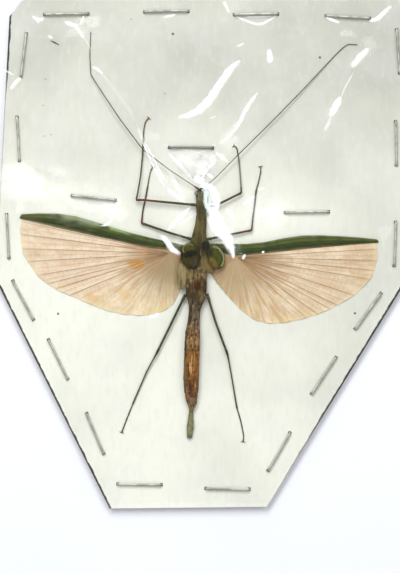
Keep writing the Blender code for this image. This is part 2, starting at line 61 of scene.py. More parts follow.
# The trunk's skin.
FIT = 0.98  # the skin's width in the faceted solid's
TRUNK_STEP, TRUNK_SIDES = 0.17, 36
SEGMENT_ENDS = [9.38, 7.03, 1.5, -5.2, -9.62, -12.3, -15.1, -17.9, -20.7, -23.4, -25.7, -27.75, -30.3, -32.1]
SEGMENT_DEEP = [0.1, 0.12, 0.05, 0.03, 0.09, 0.07, 0.06, 0.06, 0.06, 0.06, 0.08, 0.14, 0.06, 0.07]
SEGMENT_STEP = 0.22  # how soon the skin rises again behind a segment's edge
SWELL_REACH, SWELL_SHARE = 0.45, 0.25  # how far before the edge it swells, and how much of the step's depth
SNOUT, TAIL = 0.4, 0.12  # how far the ends of the trunk are rounded
NARROWEST = 0.2  # half width of the trunk that its relief is measured by, at least
RELIEF_MOST = 0.04  # share of the trunk's half width that its relief may stand proud
NECK, WAIST, TAIL_START = 9.4, -9.6, -27.7  # where the trunk's relief changes, besides two of its segments

# Limbs: shares of each piece's length, and the radius there.
LIMB_STEP, LIMB_SIDES = 0.3, 12
KNEE_REACH, STRAIGHT = 0.28, 165  # how far a knee's curve reaches, and the angle from which there is none
TIP_LONG, TIP_SLIM = 0.55, 0.5  # a limb's rounded tip, in its last radius
LIMB_ROOT = 1.15  # how far a limb starts before the first cut through its solid
FEMUR = ([0.0, 0.1, 0.14, 0.18, 0.5, 0.9, 0.965, 1.0], [0.26, 0.29, 0.2, 0.225, 0.21, 0.2, 0.235, 0.22])
TIBIA = ([0.0, 0.05, 0.15, 0.6, 0.93, 1.0], [0.185, 0.165, 0.145, 0.135, 0.15, 0.17])
TARSUS = ([0.0, 0.38, 0.4, 0.58, 0.6, 0.74, 0.76, 0.84, 0.86, 1.0],
          [0.105, 0.125, 0.1, 0.125, 0.1, 0.125, 0.1, 0.125, 0.09, 0.145])
FEELER_BASE = ([0.0, 0.03, 0.045, 0.06, 0.068, 0.085, 0.095, 1.0],
               [0.13, 0.15, 0.19, 0.17, 0.11, 0.12, 0.085, 0.08])
FEELER_TIP = ([0.0, 1.0], [0.085, 0.06])
CAD_LIMB = 0.275  # radius of the thinnest solid limb, which a thinner limb sinks in to lie on the card
FEELER_RING, FEELER_FLARE = 1.1, 0.16  # length of one ring of a feeler, and how much it widens
HIP_X, BROW = -1.3, (-0.7, 11.0, 2.4)  # legs start nearest this X, and feelers nearest this place

# The fleshy roots of the hind wings: middle, half sizes and turn in degrees.
WING_ROOTS = {
    "left": ((-3.65, -3.4, 2.58), (1.05, 3.5, 0.32), -7),
    "right": ((0.85, -0.9, 2.58), (1.1, 3.1, 0.32), 9),
}

# Hind wings: where the veins start, and their directions in degrees.
VEIN_HUB = {"left": (-6.1, -0.2), "right": (6.0, -0.9)}
MAIN_VEINS = {
    "left": [168.0, 172.8, 178.3, 183.4, 189.5, 194.0, 197.3, 202.8],
    "right": [3.2, -1.5, -5.6, -9.5, -18.0, -25.5, -29.0, -35.0, -41.0],
}
FAINT_VEINS = {
    "left": [165, 170.4, 175.6, 180.8, 186.5, 192, 200, 207, 212, 218, 225, 233, 242, 252, 263],
    "right": [0.8, -3.5, -7.6, -13.5, -22, -32, -38, -46, -52, -59, -67, -76, -86, -97, -110],
}
VEIN_HALF = 0.42  # half the angle that a vein takes up
FAN_COLUMNS, FAN_ROWS = 120, 46
FAN_THICK, FAN_INSET = 0.06, 0.985
FAN_DEEP = 0.24  # how far below the solid wing's top the membrane lies near its hub
FAN_LOW = 0.15  # how far above the card it lies at its margin
FAN_SURE = 0.97  # the share of its reach within which the solid wing is surely below
FAN_FRAY, SCALLOPS = 0.1, 20  # how ragged the margin is, and how many scallops a full turn would have
PLEAT, PLEATS, RIPPLE = 0.07, 34, 0.05
VEIN_PROUD = 0.07
STRIP_COLUMNS, STRIP_ROWS = 90, 14
STRIP_THICK, STRIP_VAULT, STRIP_OVERLAP = 0.09, 0.1, 0.22
STRIP_FIT, STRIP_SUNK, STRIP_TILT = 0.98, 0.02, 0.1  # its width, and how low it and its back lie
CORDS, CORD_PROUD = 3.5, 0.035  # lengthwise veins of the strip

# Wing cases: shares of the solid's sizes, thickness, and how far the keel, shoulder and veins stand up.
TEGMEN_FIT, TEGMEN_HIGH, TEGMEN_DOME, TEGMEN_THICK = 0.97, 0.98, 0.83, 0.1
TEGMEN_KEEL, TEGMEN_SHOULDER, TEGMEN_VEIN = 0.1, 0.13, 0.014

# Small pieces. Mouthparts are placed from the head's front and floor, each step with its radius.
EYE_FIT, EYE_SHAPE = 0.97, (0.92, 1, 0.95)
LIP_AT, LIP_SIZE = (0, -0.2, 0.42), (0.34, 0.24, 0.22)
JAW = [(0.3, -0.46, 0.4, 0.11), (0.31, -0.28, 0.34, 0.11),
       (0.22, -0.14, 0.29, 0.08), (0.07, -0.1, 0.27, 0.03)]
PALP = [(0.24, -0.5, 0.22, 0.06), (0.4, -0.34, 0.16, 0.05),
        (0.36, -0.14, 0.14, 0.05), (0.2, -0.04, 0.13, 0.035)]
CLAW = [(0.0, 0.03, 0.0, 0.06), (0.06, 0.18, 0.02, 0.055),
        (0.07, 0.34, 0.0, 0.045), (0.0, 0.46, -0.05, 0.015)]
FRAGMENT_ENDS = [(-27.95, 38.7, 0.11), (-26.4, 37.9, 0.1)]  # X, Y and height over the card
FRAGMENT = [(0, 0.03), (0.03, 0.06), (0.3, 0.085), (0.62, 0.1), (0.66, 0.08), (0.96, 0.06), (1, 0.03)]
WIRE_HIGH, WIRE_WIDE = 0.185, 0.225  # half its height and half its width
WIRE_BEND, WIRE_FOLD, WIRE_HALF = 0.3, 3.0, 4.2  # its bends' radius, its folded ends and half its length
WIRE_BOW, WIRE_LEAN, BOWED_FROM = 0.1, 0.05, 1.2  # how much a crown bows and leans, and from what height
WIRE_GAP, WIRE_SAG = 0.01, 0.015

# The film.
FILM_STEP = 0.45
FILM_THICK = 0.05
FILM_SUNK, FILM_WAVE = 0.12, 0.035  # how far it lies below the solid film's top, and its waves
RIM_REACH = 0.3  # how far inwards the film's height is looked up where its rim has none
FOLD_LIFT, FOLD_THICK = 0.04, 0.02
CREASE_RISE, CREASE_FOOT = 0.14, 1.4  # how far the film rises at a fold, and how widely, in its half widths
FOLD_CROWN = 0.05  # how much higher the fold itself stands, in its half widths
FOLD_ROWS, FOLD_STEP = 8, 0.25
FOLDS_AND_GLINTS = [  # folds, each with a painted glint: how white, half width, and the path
    (1.0, 0.85, (-4.8, 24.5), (-1.6, 25.2), (0.9, 27.4), (3.2, 30.9), (5.0, 33.6), (6.8, 35.0)),
    (0.85, 0.42, (5.4, 21.6), (6.7, 23.8), (8.0, 26.6), (10.0, 29.2)),
    (0.5, 0.45, (2.4, 19.6), (4.6, 20.8), (5.8, 22.6)),
    (0.9, 0.26, (6.0, 43.1), (8.4, 42.0), (10.2, 41.5), (12.2, 42.4), (13.4, 43.3)),
    (0.7, 0.16, (7.2, 42.95), (12.6, 43.1)),
    (1.0, 0.62, (12.15, 34.4), (12.0, 37.1)),
    (0.75, 0.34, (3.6, 46.0), (4.8, 43.6)),
    (0.55, 0.24, (5.9, 37.4), (7.5, 38.2)),
    (0.45, 0.22, (1.1, 24.3), (2.4, 24.9)),
    (0.7, 0.26, (-7.3, 42.9), (-5.0, 43.4)),
    (1.0, 0.42, (-25.4, 42.1), (-24.0, 41.5), (-22.8, 41.3)),
    (0.95, 0.3, (-23.8, 41.8), (-22.8, 40.6), (-21.9, 38.9)),
    (0.4, 0.14, (-22.6, 41.0), (-21.4, 38.4), (-20.2, 36.4)),
    (0.8, 0.2, (-21.8, 43.4), (-22.2, 42.2), (-22.7, 41.4)),
    (0.9, 0.34, (-31.4, 43.2), (-30.2, 42.4), (-29.0, 42.7)),
    (0.95, 0.24, (-30.9, 42.8), (-30.0, 41.9)),
    (0.6, 0.28, (-28.5, 39.6), (-27.5, 39.0)),
    (0.8, 0.32, (-20.4, 33.8), (-19.2, 33.3), (-18.3, 32.4)),
    (0.9, 0.36, (-36.0, 43.4), (-34.4, 44.7)),
    (0.6, 0.2, (-36.6, 33.4), (-34.6, 32.3)),
    (0.8, 0.42, (-35.4, 29.6), (-34.2, 31.2), (-33.0, 32.2)),
    (0.2, 0.6, (-20.6, 35.0), (-17.0, 30.6), (-13.8, 26.4), (-11.8, 22.6)),
    (0.38, 0.45, (-12.4, 24.0), (-11.1, 20.4), (-9.3, 16.8), (-8.3, 14.6), (-7.4, 13.0), (-5.9, 10.8)),
    (0.8, 0.13, (-11.6, 20.9), (-9.7, 16.8), (-8.7, 14.6), (-7.8, 12.9), (-6.2, 10.6)),
    (0.8, 0.13, (-10.8, 20.3), (-8.9, 16.8), (-7.9, 14.6), (-7.0, 13.2), (-5.4, 10.9)),
    (0.75, 0.45, (-6.8, 11.9), (-5.8, 10.8), (-4.6, 9.9), (-3.3, 9.0)),
    (0.7, 0.14, (-6.6, 14.9), (-5.3, 12.5), (-4.2, 10.2), (-3.3, 8.7)),
    (0.7, 0.12, (-6.2, 14.9), (-4.9, 12.6), (-3.8, 10.4), (-3.0, 8.8)),
    (0.5, 0.55, (-6.6, 18.2), (-5.0, 16.6), (-3.4, 14.8), (-1.8, 12.8)),
    (0.34, 2.2, (-5.4, 18.0), (-3.0, 16.6), (-0.6, 15.0), (0.2, 13.4)),
    (0.3, 2.0, (2.4, 18.2), (0.8, 16.4), (-0.4, 14.6), (-0.6, 12.8)),
    (0.9, 0.5, (-0.7, 12.0), (0.2, 11.9), (0.9, 11.5)),
    (0.6, 0.5, (2.0, 18.4), (3.4, 17.2), (4.6, 16.2)),
    (0.5, 0.5, (2.4, 16.4), (0.8, 15.4), (0.0, 13.8), (-0.6, 12.6)),
    (0.75, 0.9, (-2.0, 13.5), (-0.8, 13.2), (0.4, 12.8)),
    (0.75, 0.5, (0.4, 14.4), (1.8, 13.4)),
    (1.0, 0.8, (-0.8, 12.5), (0.7, 12.2), (1.9, 11.0), (2.4, 9.4), (2.2, 7.6), (2.0, 6.4)),
    (0.85, 0.7, (0.2, 11.8), (0.7, 10.2), (0.8, 8.6), (1.2, 6.8)),
    (1.1, 1.25, (1.2, 9.0), (1.9, 7.3), (2.8, 5.1), (3.9, 3.2), (4.9, 1.0), (5.3, -0.4)),
    (0.8, 1.0, (1.0, 6.6), (1.8, 4.8), (2.8, 3.4), (4.2, 2.2)),
    (0.9, 0.45, (4.4, 1.6), (5.2, 0.5), (5.4, -0.5), (5.4, -1.3)),
    (0.75, 0.48, (-2.4, 8.2), (-3.6, 6.9), (-5.0, 5.5), (-6.6, 3.8)),
    (0.5, 0.22, (-1.8, 6.7), (-3.2, 5.5), (-4.8, 5.1)),
    (1.0, 0.62, (-7.9, 3.0), (-6.8, 2.2), (-6.1, 1.0), (-5.2, 0.1), (-4.2, -0.5)),
    (0.55, 0.95, (14.6, 8.3), (12.0, 7.4), (9.4, 6.6)),
    (0.65, 0.45, (7.0, 8.4), (9.4, 10.2)),
    (0.5, 0.7, (4.0, 8.0), (5.0, 6.8), (5.6, 5.6)),
    (0.6, 0.3, (9.9, 11.3), (11.2, 11.7)),
    (1.0, 0.24, (10.6, -0.2), (11.1, 0.1)),
    (0.8, 0.3, (-19.0, 4.75), (-17.6, 4.9), (-16.7, 6.0), (-16.6, 7.4)),
    (1.0, 0.3, (7.1, -1.4), (7.6, -0.4)),
    (0.95, 0.48, (30.2, 42.2), (31.6, 42.5), (33.0, 43.8), (34.4, 45.0)),
    (0.9, 0.36, (22.2, 43.0), (23.6, 42.4), (24.9, 41.9)),
    (1.0, 0.7, (27.0, 33.7), (28.2, 35.2), (30.2, 37.2)),
    (1.0, 0.72, (23.0, 24.6), (24.0, 26.4), (25.1, 28.4)),
    (0.55, 0.18, (25.0, 28.0), (25.9, 30.2), (26.6, 31.4), (27.4, 32.8)),
    (0.45, 0.55, (22.0, 21.8), (22.8, 23.4), (23.4, 25.0)),
    (0.7, 0.55, (-10.0, -12.0), (-8.0, -11.2)),
]

# The card: cut edges where its top face gets a thin dark rim, each with the card on its left, and where along
# Y the rim is faint and where dark. Then colours, and specks as ovals: middle, half widths and strength.
CARD_CUTS = [
    ((-35.5, 43.1), (-38.1, -4.9), 26, 35),
    ((-38.1, -4.9), (-17.2, -46.9), -70, -40),
    ((11.7, -46.6), (38.0, -3.8), -47, -25),
]
CARD_RIM, CARD_CORE, CARD_PLIES = (0.035, 0.033, 0.028), (0.23, 0.22, 0.19), (0.33, 0.315, 0.275)
# PAPER_SHADE_AND_GRAIN is both the painted shade towards the card's top and right and the colour of its grey
# grain.
PAPER_LIGHT, PAPER_SHADE_AND_GRAIN, PAPER_WARM = (0.87, 0.87, 0.78), (0.51, 0.51, 0.455), (0.82, 0.8, 0.69)
PAPER_BRIGHT, PAPER_LILAC = (0.92, 0.91, 0.84), (0.76, 0.73, 0.73)
PAPER_FIBRE, DUST = (0.62, 0.62, 0.52), (0.06, 0.055, 0.04)
CARD_SPECKS = [((-5.6, 39.9), (0.24, 0.24), 1)]
CARD_SPECKS += [(at, (0.22, 0.22), 1) for at in ((27.7, -11.2), (-26.6, -11.3), (21.3, 35.6))]
CARD_SPECKS += [(at, (0.2, 0.16), 0.4) for at in (
    (-13.2, 42.6), (-28.9, 31.6), (-7.1, 29.0), (-29.3, 26.8), (-29.1, 21.2), (-27.9, 21.5))]

# The film's looks.
PURE_WHITE, FILM_TINT, FILM_ROUGH = (1, 1, 1, 1), (0.985, 0.99, 0.985, 1), 0.11
# Painted glare on the film: ovals of middle, half widths and strength where a white diffuse layer is laid on.
PAINTED_FILM_GLARE = [((-31.5, 13), (6.5, 3.2), 0.3), ((-21, 9), (7, 3.6), 0.1), ((11.5, 7.5), (4.5, 2.6), 0.12)]
# Painted shade in the painted glints beside the head: grey-green ovals of middle, half widths and strength.
PAINTED_FOLD_SHADE = [((0.8, 9.5), (0.2, 0.75), 1), ((1.7, 8.3), (0.7, 0.22), 0.6), ((0.95, 10.4), (0.16, 0.14), 1)]

# The insect's looks.
SKIN_ALONG = [  # place along Y, and the colour of the back there
    (11.5, (0.08, 0.08, 0.056)), (10.8, (0.146, 0.144, 0.108)), (10.2, (0.164, 0.158, 0.094)),
    (9.6, (0.188, 0.17, 0.082)), (9.1, (0.118, 0.109, 0.048)), (8.0, (0.106, 0.098, 0.039)),
    (7.0, (0.098, 0.09, 0.032)), (5.8, (0.112, 0.093, 0.029)), (3.6, (0.098, 0.081, 0.026)),
    (1.9, (0.09, 0.076, 0.02)), (0.9, (0.04, 0.034, 0.012)), (-2.6, (0.1, 0.074, 0.03)),
    (-4.4, (0.2, 0.135, 0.05)), (-6.2, (0.115, 0.058, 0.014)), (-8.0, (0.13, 0.096, 0.037)),
    (-9.3, (0.124, 0.092, 0.043)), (-10.2, (0.088, 0.061, 0.036)), (-12.4, (0.132, 0.086, 0.05)),
    (-13.8, (0.212, 0.116, 0.046)), (-15.0, (0.156, 0.088, 0.038)), (-16.4, (0.35, 0.196, 0.066)),
    (-18.0, (0.27, 0.125, 0.03)), (-19.4, (0.34, 0.143, 0.028)), (-21.2, (0.335, 0.133, 0.021)),
    (-22.8, (0.235, 0.093, 0.024)), (-24.4, (0.192, 0.075, 0.018)), (-26.2, (0.174, 0.08, 0.029)),
    (-27.6, (0.18, 0.112, 0.058)), (-28.4, (0.24, 0.178, 0.072)), (-29.2, (0.195, 0.18, 0.09)),
    (-32.4, (0.28, 0.272, 0.146)), (-34.2, (0.16, 0.146, 0.078)),
]
BACK_AT_TAIL, BACK_SLOPE = (-2.35, -30.0), 0.018  # a place on the back's middle line, and how it leans
BELLY_ENDS = SEGMENT_ENDS[5:11]
# PAINTED_SIDE_SHADE is the colour of the shade painted on the skin's sides.
DARK_BROWN, PAINTED_SIDE_SHADE = (0.03, 0.018, 0.008), (0.016, 0.011, 0.006)
SKIN_SPOTS = [  # middle, half widths, softness, strength and colour
    ((-1.1, -6.1), (0.75, 0.95), 0.9, 0.9, (0.045, 0.009, 0.004)),
    ((-0.62, 8.15), (0.7, 0.2), 0.8, 0.5, (0.03, 0.026, 0.012)),
    ((-1.28, 10.12), (0.24, 0.2), 0.8, 0.8, (0.04, 0.036, 0.014)),
    ((-0.66, 11.18), (0.26, 0.16), 0.8, 0.9, (0.022, 0.024, 0.02)),
    ((-0.1, 10.2), (0.16, 0.16), 0.8, 0.7, (0.04, 0.036, 0.016)),
    # Painted shade in the gap between the trunk and the right wing case.
    ((0.5, 1.1), (1.0, 0.95), 0.9, 0.95, (0.014, 0.015, 0.006)),
]
RUSTY_KNEES = [((-10.6, 9.5), (3.4, 0.9), 1), ((8.0, 3.9), (2.2, 1.1), 1), ((-11.3, 5.3), (0.9, 0.7), 1)]
TAN_TOES = [((-10.4, 23.4), (1.2, 2.0), 1), ((-9.9, 14.4), (1.0, 1.9), 1), ((10.3, 14.2), (0.9, 2.2), 0.6)]
DARK_JOINTS = [((-8.5, -18.4), (0.6, 0.7), 1), ((4.4, -18.7), (0.6, 0.9), 1),
               ((-1.0, 11.6), (0.45, 0.4), 0.8), ((-0.4, 11.6), (0.4, 0.4), 0.8)]
STRIP_ACROSS = [  # share of the front strip's width, from the back, and the colour there
    (0.0, (0.19, 0.155, 0.08)), (0.1, (0.1, 0.088, 0.032)), (0.2, (0.03, 0.034, 0.008)),
    (0.32, (0.026, 0.038, 0.005)), (0.5, (0.042, 0.062, 0.009)), (0.66, (0.078, 0.098, 0.02)),
    (0.84, (0.06, 0.078, 0.016)), (0.94, (0.17, 0.18, 0.075)), (1.0, (0.11, 0.118, 0.04)),
]
MEMBRANE = {  # the fan's colour at its front and at its lower part
    "left": ((0.76, 0.6, 0.43), (0.78, 0.635, 0.395)),
    "right": ((0.68, 0.53, 0.355), (0.72, 0.57, 0.37)),
}
ROOT_FOLDS = [((-5.1, -4.4), (0.3, 2.3), 1), ((-4.1, -5.0), (0.25, 2.2), 1)]

# The view, the table and the light.
CAMERA_AT = (-0.64, -6.3)
CAMERA_UP, LENS = 350.0, 120.2  # how far above the card, and the focal length
TABLE_WHITE, TABLE_SHADE = (0.9, 0.915, 0.96), (0.84, 0.855, 0.91)
SOFTBOXES = [  # name, degrees from +X where it stands, degrees from overhead, size and power
    ("window", 96, 42, 0.24, 1.6),
    ("left_panel", 138, 33, 0.18, 0.7),
    ("right_panel", 28, 34, 0.18, 0.5),
    ("low_panel", 262, 38, 0.16, 0.3),
]
TABLE_WIDE, LIGHT_FAR = 1.4, 0.55  # in metres
SKY_COLOUR, SKY_STRENGTH = (0.95, 0.97, 1.0), 0.44


# Making and finishing pieces.


def clear_choice():
    bpy.ops.object.select_all(action="DESELECT")


def choose(*objects):
    clear_choice()
    for chosen in objects:
        chosen.select_set(True)
    bpy.context.view_layer.objects.active = objects[0]


def apply_modifier(piece, kind, **settings):
    """Adds a modifier and applies it."""
    choose(piece)
    modifier = piece.modifiers.new(kind.lower(), kind)
    for key, value in settings.items():
        setattr(modifier, key, value)
    bpy.ops.object.modifier_apply(modifier=modifier.name)


def thicken(piece, thickness):
    apply_modifier(piece, "SOLIDIFY", thickness=thickness, offset=-1)


def apply_place():
    bpy.ops.object.transform_apply(location=True, rotation=True, scale=True)


def sized(scale):
    """Stretches a new primitive about its middle, and applies its place."""
    piece = bpy.context.object
    piece.scale = scale
    apply_place()
    return piece


def edit_all(piece=None):
    """Edit mode, with the whole piece chosen."""
    if piece:
        choose(piece)
    bpy.ops.object.mode_set(mode="EDIT")
    bpy.ops.mesh.select_all(action="SELECT")


def leave():
    bpy.ops.object.mode_set(mode="OBJECT")


def face_outward(piece):
    edit_all(piece)
    bpy.ops.mesh.remove_doubles(threshold=WELD)
    bpy.ops.mesh.normals_make_consistent(inside=False)
    leave()


def settle(piece, name, nodes=(), finish=None, angle=None):
    """Turns a finished piece into metres, smooths its shading and gives it to the frame."""
    choose(piece)
    piece.name = piece.data.name = name
    piece.scale = (MM, MM, MM)
    apply_place()
    if angle is None:
        bpy.ops.object.shade_smooth()
    else:
        bpy.ops.object.shade_smooth_by_angle(angle=math.radians(angle))
    if finish:
        piece.data.materials.clear()
        piece.data.materials.append(finish)
    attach(piece, "root")
    if nodes:
        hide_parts(*nodes)


def joined(pieces):
    choose(*pieces)
    bpy.ops.object.join()
    return pieces[0]


# Reading the frame's solids.


def box_of(node):
    """The lowest and highest corner of a node, in millimetres."""
    return [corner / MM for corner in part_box(node)]


def corners(node):
    """The corners of a node's triangles, in millimetres."""
    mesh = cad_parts[node].data
    mesh.calc_loop_triangles()
    points = np.array([v.co for v in mesh.vertices]) / MM
    return points[np.array([t.vertices[:] for t in mesh.loop_triangles])]


def solid_tree(node):
    """What a vertical ray can hit of a node."""
    points = [Vector(p) for p in corners(node).reshape(-1, 3)]
    return BVHTree.FromPolygons(points, [(i, i + 1, i + 2) for i in range(0, len(points), 3)])


def top_of(tree, x, y):
    """Height of the first surface below a point, or None."""
    hit = tree.ray_cast(Vector((x, y, 50.0)), -UP)[0]
    return hit.z if hit else None


def long_way(node):
    """The middle of a node and the level direction in which it is longest."""
    points = np.unique(corners(node).reshape(-1, 3).round(4), axis=0)
    middle = (points.min(axis=0) + points.max(axis=0)) / 2
    flat = points[:, :2] - points[:, :2].mean(axis=0)
    spread, ways = np.linalg.eigh(flat.T @ flat)
    way = ways[:, int(np.argmax(spread))]
    return Vector(middle), Vector((way[0], way[1], 0)).normalized()


def half_length(node, way):
    return np.ptp(corners(node).reshape(-1, 3) @ np.array(way)) / 2


def cuts_across(node, way, count, margin):
    """Planes across a node: the middle, half width and half height of each cut."""
    triangles = corners(node)
    way = np.array(way)
    side = np.array((-way[1], way[0], 0))
    along = triangles @ way
    found = []
    for at in np.linspace(along.min() + margin, along.max() - margin, count):
        points = []
        for a, b in ((0, 1), (1, 2), (2, 0)):
            da, db = along[:, a] - at, along[:, b] - at
            hit = da * db < 0
            share = (da[hit] / (da[hit] - db[hit]))[:, None]
            points.append(triangles[hit, a] + (triangles[hit, b] - triangles[hit, a]) * share)
        points = np.concatenate(points)
        across, high = points @ side, points[:, 2]
        middle = way * at + side * (across.min() + across.max()) / 2
        middle[2] = (high.min() + high.max()) / 2
        found.append((Vector(middle), np.ptp(across) / 2, np.ptp(high) / 2))
    return found


# Lofts: a circle for each ring, bridged into one skin.


def level_turn(way):
    """Turns a circle to face along a way, with its sides kept level."""
    return way.to_track_quat("Z", "Y").to_euler()


def upright_turn(way):
    """Turns a circle to face along a way that stays above the X axis."""
    return (0, math.pi / 2 - math.atan2(way.z, way.x), 0)


def join_in_turn(piece, rings, sides):
    """Joins each ring to the next one only, for a path that folds back close to itself."""
    for i in range(rings - 1):
        bpy.ops.mesh.select_all(action="DESELECT")
        leave()
        for v in piece.data.vertices[i * sides : (i + 2) * sides]:
            v.select = True
        bpy.ops.object.mode_set(mode="EDIT")
        bpy.ops.mesh.bridge_edge_loops()


def loft(rings, sides, turn=level_turn, folded=False):
    """A closed form through rings: each is its middle, its direction, its radius and its stretch, if any."""
    clear_choice()
    for i, (middle, way, radius, stretch) in enumerate(rings):
        bpy.ops.mesh.primitive_circle_add(
            vertices=sides, radius=radius, fill_type="NOTHING", location=middle, rotation=turn(way)
        )
        if i == 0:
            piece = bpy.context.object
            apply_place()
            bpy.ops.object.mode_set(mode="EDIT")
            bpy.ops.mesh.select_mode(type="VERT")
            bpy.ops.mesh.select_all(action="SELECT")
        if stretch:
            bpy.ops.transform.resize(value=stretch, center_override=middle)
    if folded:
        join_in_turn(piece, len(rings), sides)
    else:
        bpy.ops.mesh.select_all(action="SELECT")
        bpy.ops.mesh.bridge_edge_loops()
    bpy.ops.mesh.select_all(action="DESELECT")
    bpy.ops.mesh.select_non_manifold()
    bpy.ops.mesh.edge_face_add()
    bpy.ops.mesh.select_all(action="SELECT")
    bpy.ops.mesh.normals_make_consistent(inside=False)
    leave()
    return piece


def heading(points, i):
    """The direction of a path at one of its points."""
    return (points[min(i + 1, len(points) - 1)] - points[max(i - 1, 0)]).normalized()


def tube(path, radii, sides):
    """A round form along a path, with a radius at each of its points."""
    return loft([(point, heading(path, i), radii[i], None) for i, point in enumerate(path)], sides)


# The insect's skin.


def noise_at(x, y, z):
    """Smooth noise from -1 to 1 at a place."""
    return noise.noise(Vector((x, y, z)))


def bell(value, middle, wide):
    """1 at the middle, falling away to both sides."""
    return math.exp(-(((value - middle) / wide) ** 2))


def behind_edge(y):
    """How much the skin sinks behind each segment's edge, and swells just before it."""
    sunk = 0.0
    for end, deep in zip(SEGMENT_ENDS, SEGMENT_DEEP):
        past = end - y
        if past >= 0:
            sunk -= deep * math.exp(-past / SEGMENT_STEP)
        elif past > -SWELL_REACH:
            sunk += SWELL_SHARE * deep * (1 + past / SWELL_REACH)
    return sunk


def trunk_rings():
    """Rings along the trunk, from the solids, rounded at both ends and stepped at the segments."""
    way = Vector((0, -1, 0))
    cuts = []
    for node in TRUNK:
        low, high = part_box(node)
        count = max(3, round((high.y - low.y) / MM / TRUNK_STEP))
        cuts += cuts_across(node, way, count, 0.02)
    table = np.array([(*middle, wide, high) for middle, wide, high in cuts])
    even = np.arange(table[0, 1] - 0.01, table[-1, 1], -TRUNK_STEP)
    shape = np.stack([np.interp(-even, -table[:, 1], table[:, k]) for k in (0, 2, 3, 4)], axis=1)
    soft = shape.copy()
    soft[1:-1] = (shape[:-2] + 2 * shape[1:-1] + shape[2:]) / 4
    rings = []
    for y, (x, z, wide, high) in zip(even, soft):
        front, back = even[0] - y + 0.03, y - even[-1] + 0.03
        blunt = math.sqrt(1 - max(0.0, 1 - front / SNOUT) ** 2)
        blunt *= math.sqrt(1 - max(0.0, 1 - back / TAIL) ** 2)
        scale = FIT * (1 + behind_edge(y)) * max(blunt, 0.25)
        rings.append((Vector((x, y, z)), way, wide * min(scale, FIT * 1.02), (1, 1, high / wide)))
    return rings


def relief(point, out, middle, wide):
    """How far a point of the trunk moves outwards: keels, grains, grooves and dry wrinkles."""
    x, y = (point.x - middle) / wide, point.y
    up = max(out.z, 0)
    move = 0.012 * noise_at(point.x * 3.1, point.y * 2.6, point.z * 3.1)
    if y > NECK:  # the head: a groove down its middle, brows over the eyes and swollen cheeks
        move -= 0.035 * bell(x, 0, 0.12) * up * (y < 10.6)
        move += 0.05 * bell(abs(x), 0.62, 0.2) * bell(y, 10.95, 0.25) * up
        move += 0.04 * bell(y, 9.95, 0.3) * (1 - up)
    elif y > SEGMENT_ENDS[1]:  # the neck plate: raised rims and a cross groove
        move += 0.05 * bell(abs(x), 0.8, 0.16) * up
        move -= 0.06 * bell(y, 8.35, 0.13) * up
        move -= 0.03 * bell(x, 0, 0.1) * up
    elif y > SEGMENT_ENDS[2]:  # the long middle plate: a keel and rows of grains
        move += 0.06 * bell(x, 0, 0.1) * up
        move += 0.04 * bell(abs(x), 0.72, 0.12) * up
        spot = noise_at(point.x * 5.5, point.y * 4.2, 7.0)
        move += 0.05 * max(0.0, spot - 0.25)
    elif y > WAIST:
        move += 0.04 * bell(x, 0, 0.12) * up
        move += 0.03 * noise_at(point.x * 1.6, point.y * 0.8, 3.0)
    elif y > TAIL_START:  # the belly has dried in folds along its length
        fold = noise_at(x * 3.2, y * 0.33, 11.0)
        move += 0.055 * fold - 0.05 * abs(noise_at(x * 2.4, y * 0.9, 5.0))
    else:
        move += 0.03 * bell(x, 0, 0.25) * up
    return move


def make_trunk():
    rings = trunk_rings()
    piece = loft(rings, TRUNK_SIDES)
    table = np.array([(ring[0].y, ring[0].x, ring[2]) for ring in rings])
    normals = [v.normal.copy() for v in piece.data.vertices]
    for v, out in zip(piece.data.vertices, normals):
        middle, wide = (np.interp(-v.co.y, -table[:, 0], table[:, k]) for k in (1, 2))
        wide = max(wide, NARROWEST)
        v.co += out * min(relief(v.co, out, middle, wide), wide * RELIEF_MOST)
    return piece


def meeting(near, far):
    """Where two lengths of a limb meet, if their centre lines are drawn on."""
    way_near = (near[-1] - near[-3]).normalized()
    way_far = (far[0] - far[2]).normalized()
    if abs(way_near.dot(way_far)) > 0.9:
        return (near[-1] + far[0]) / 2
    apart = far[0] - near[-1]
    share = way_near.dot(way_far)
    reach = (apart.dot(way_near) - share * apart.dot(way_far)) / (1 - share * share)
    return near[-1] + way_near * reach


def centre_line(node, start, radius):
    """The middle of a limb's solid from the end nearest a point, sunk as far as a thinner limb lies lower."""
    _, way = long_way(node)
    low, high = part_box(node)
    count = max(9, round((high - low).length / MM))
    line = [cut[0] for cut in cuts_across(node, way, count, 0.45)]
    if (line[0] - start).xy.length > (line[-1] - start).xy.length:
        line.reverse()
    sunk = CAD_LIMB - radius
    return [p - UP * sunk * max(0.0, 1 - (p.z - CAD_LIMB - low.z / MM) / 0.5) for p in line]


def ends_of(node, line):
    """A limb's centre line drawn on to the end of its solid."""
    points = corners(node).reshape(-1, 3)
    way = (line[-1] - line[-2]).normalized()
    reach = max(Vector(p).dot(way) for p in points) - line[-1].dot(way)
    return line + [line[-1] + way * max(reach - 0.12, 0.05)]


def softened(path, reach):
    """Each corner of a path becomes a short curve."""
    made = [path[0]]
    for before, at, after in zip(path, path[1:], path[2:]):
        near, far = before - at, after - at
        if near.angle(far) > math.radians(STRAIGHT):
            made.append(at)
            continue
        a = at + near.normalized() * min(reach, near.length / 2)
        b = at + far.normalized() * min(reach, far.length / 2)
        made += [a.lerp(at, t).lerp(at.lerp(b, t), t) for t in (0, 0.25, 0.5, 0.75, 1)]
    return made + [path[-1]]


def rounded(path):
    """Cuts each corner of a path twice."""
    for _ in range(2):
        cut = [path[0]]
        for a, b in zip(path, path[1:]):
            cut += [a.lerp(b, 0.25), a.lerp(b, 0.75)]
        path = cut + [path[-1]]
    return path


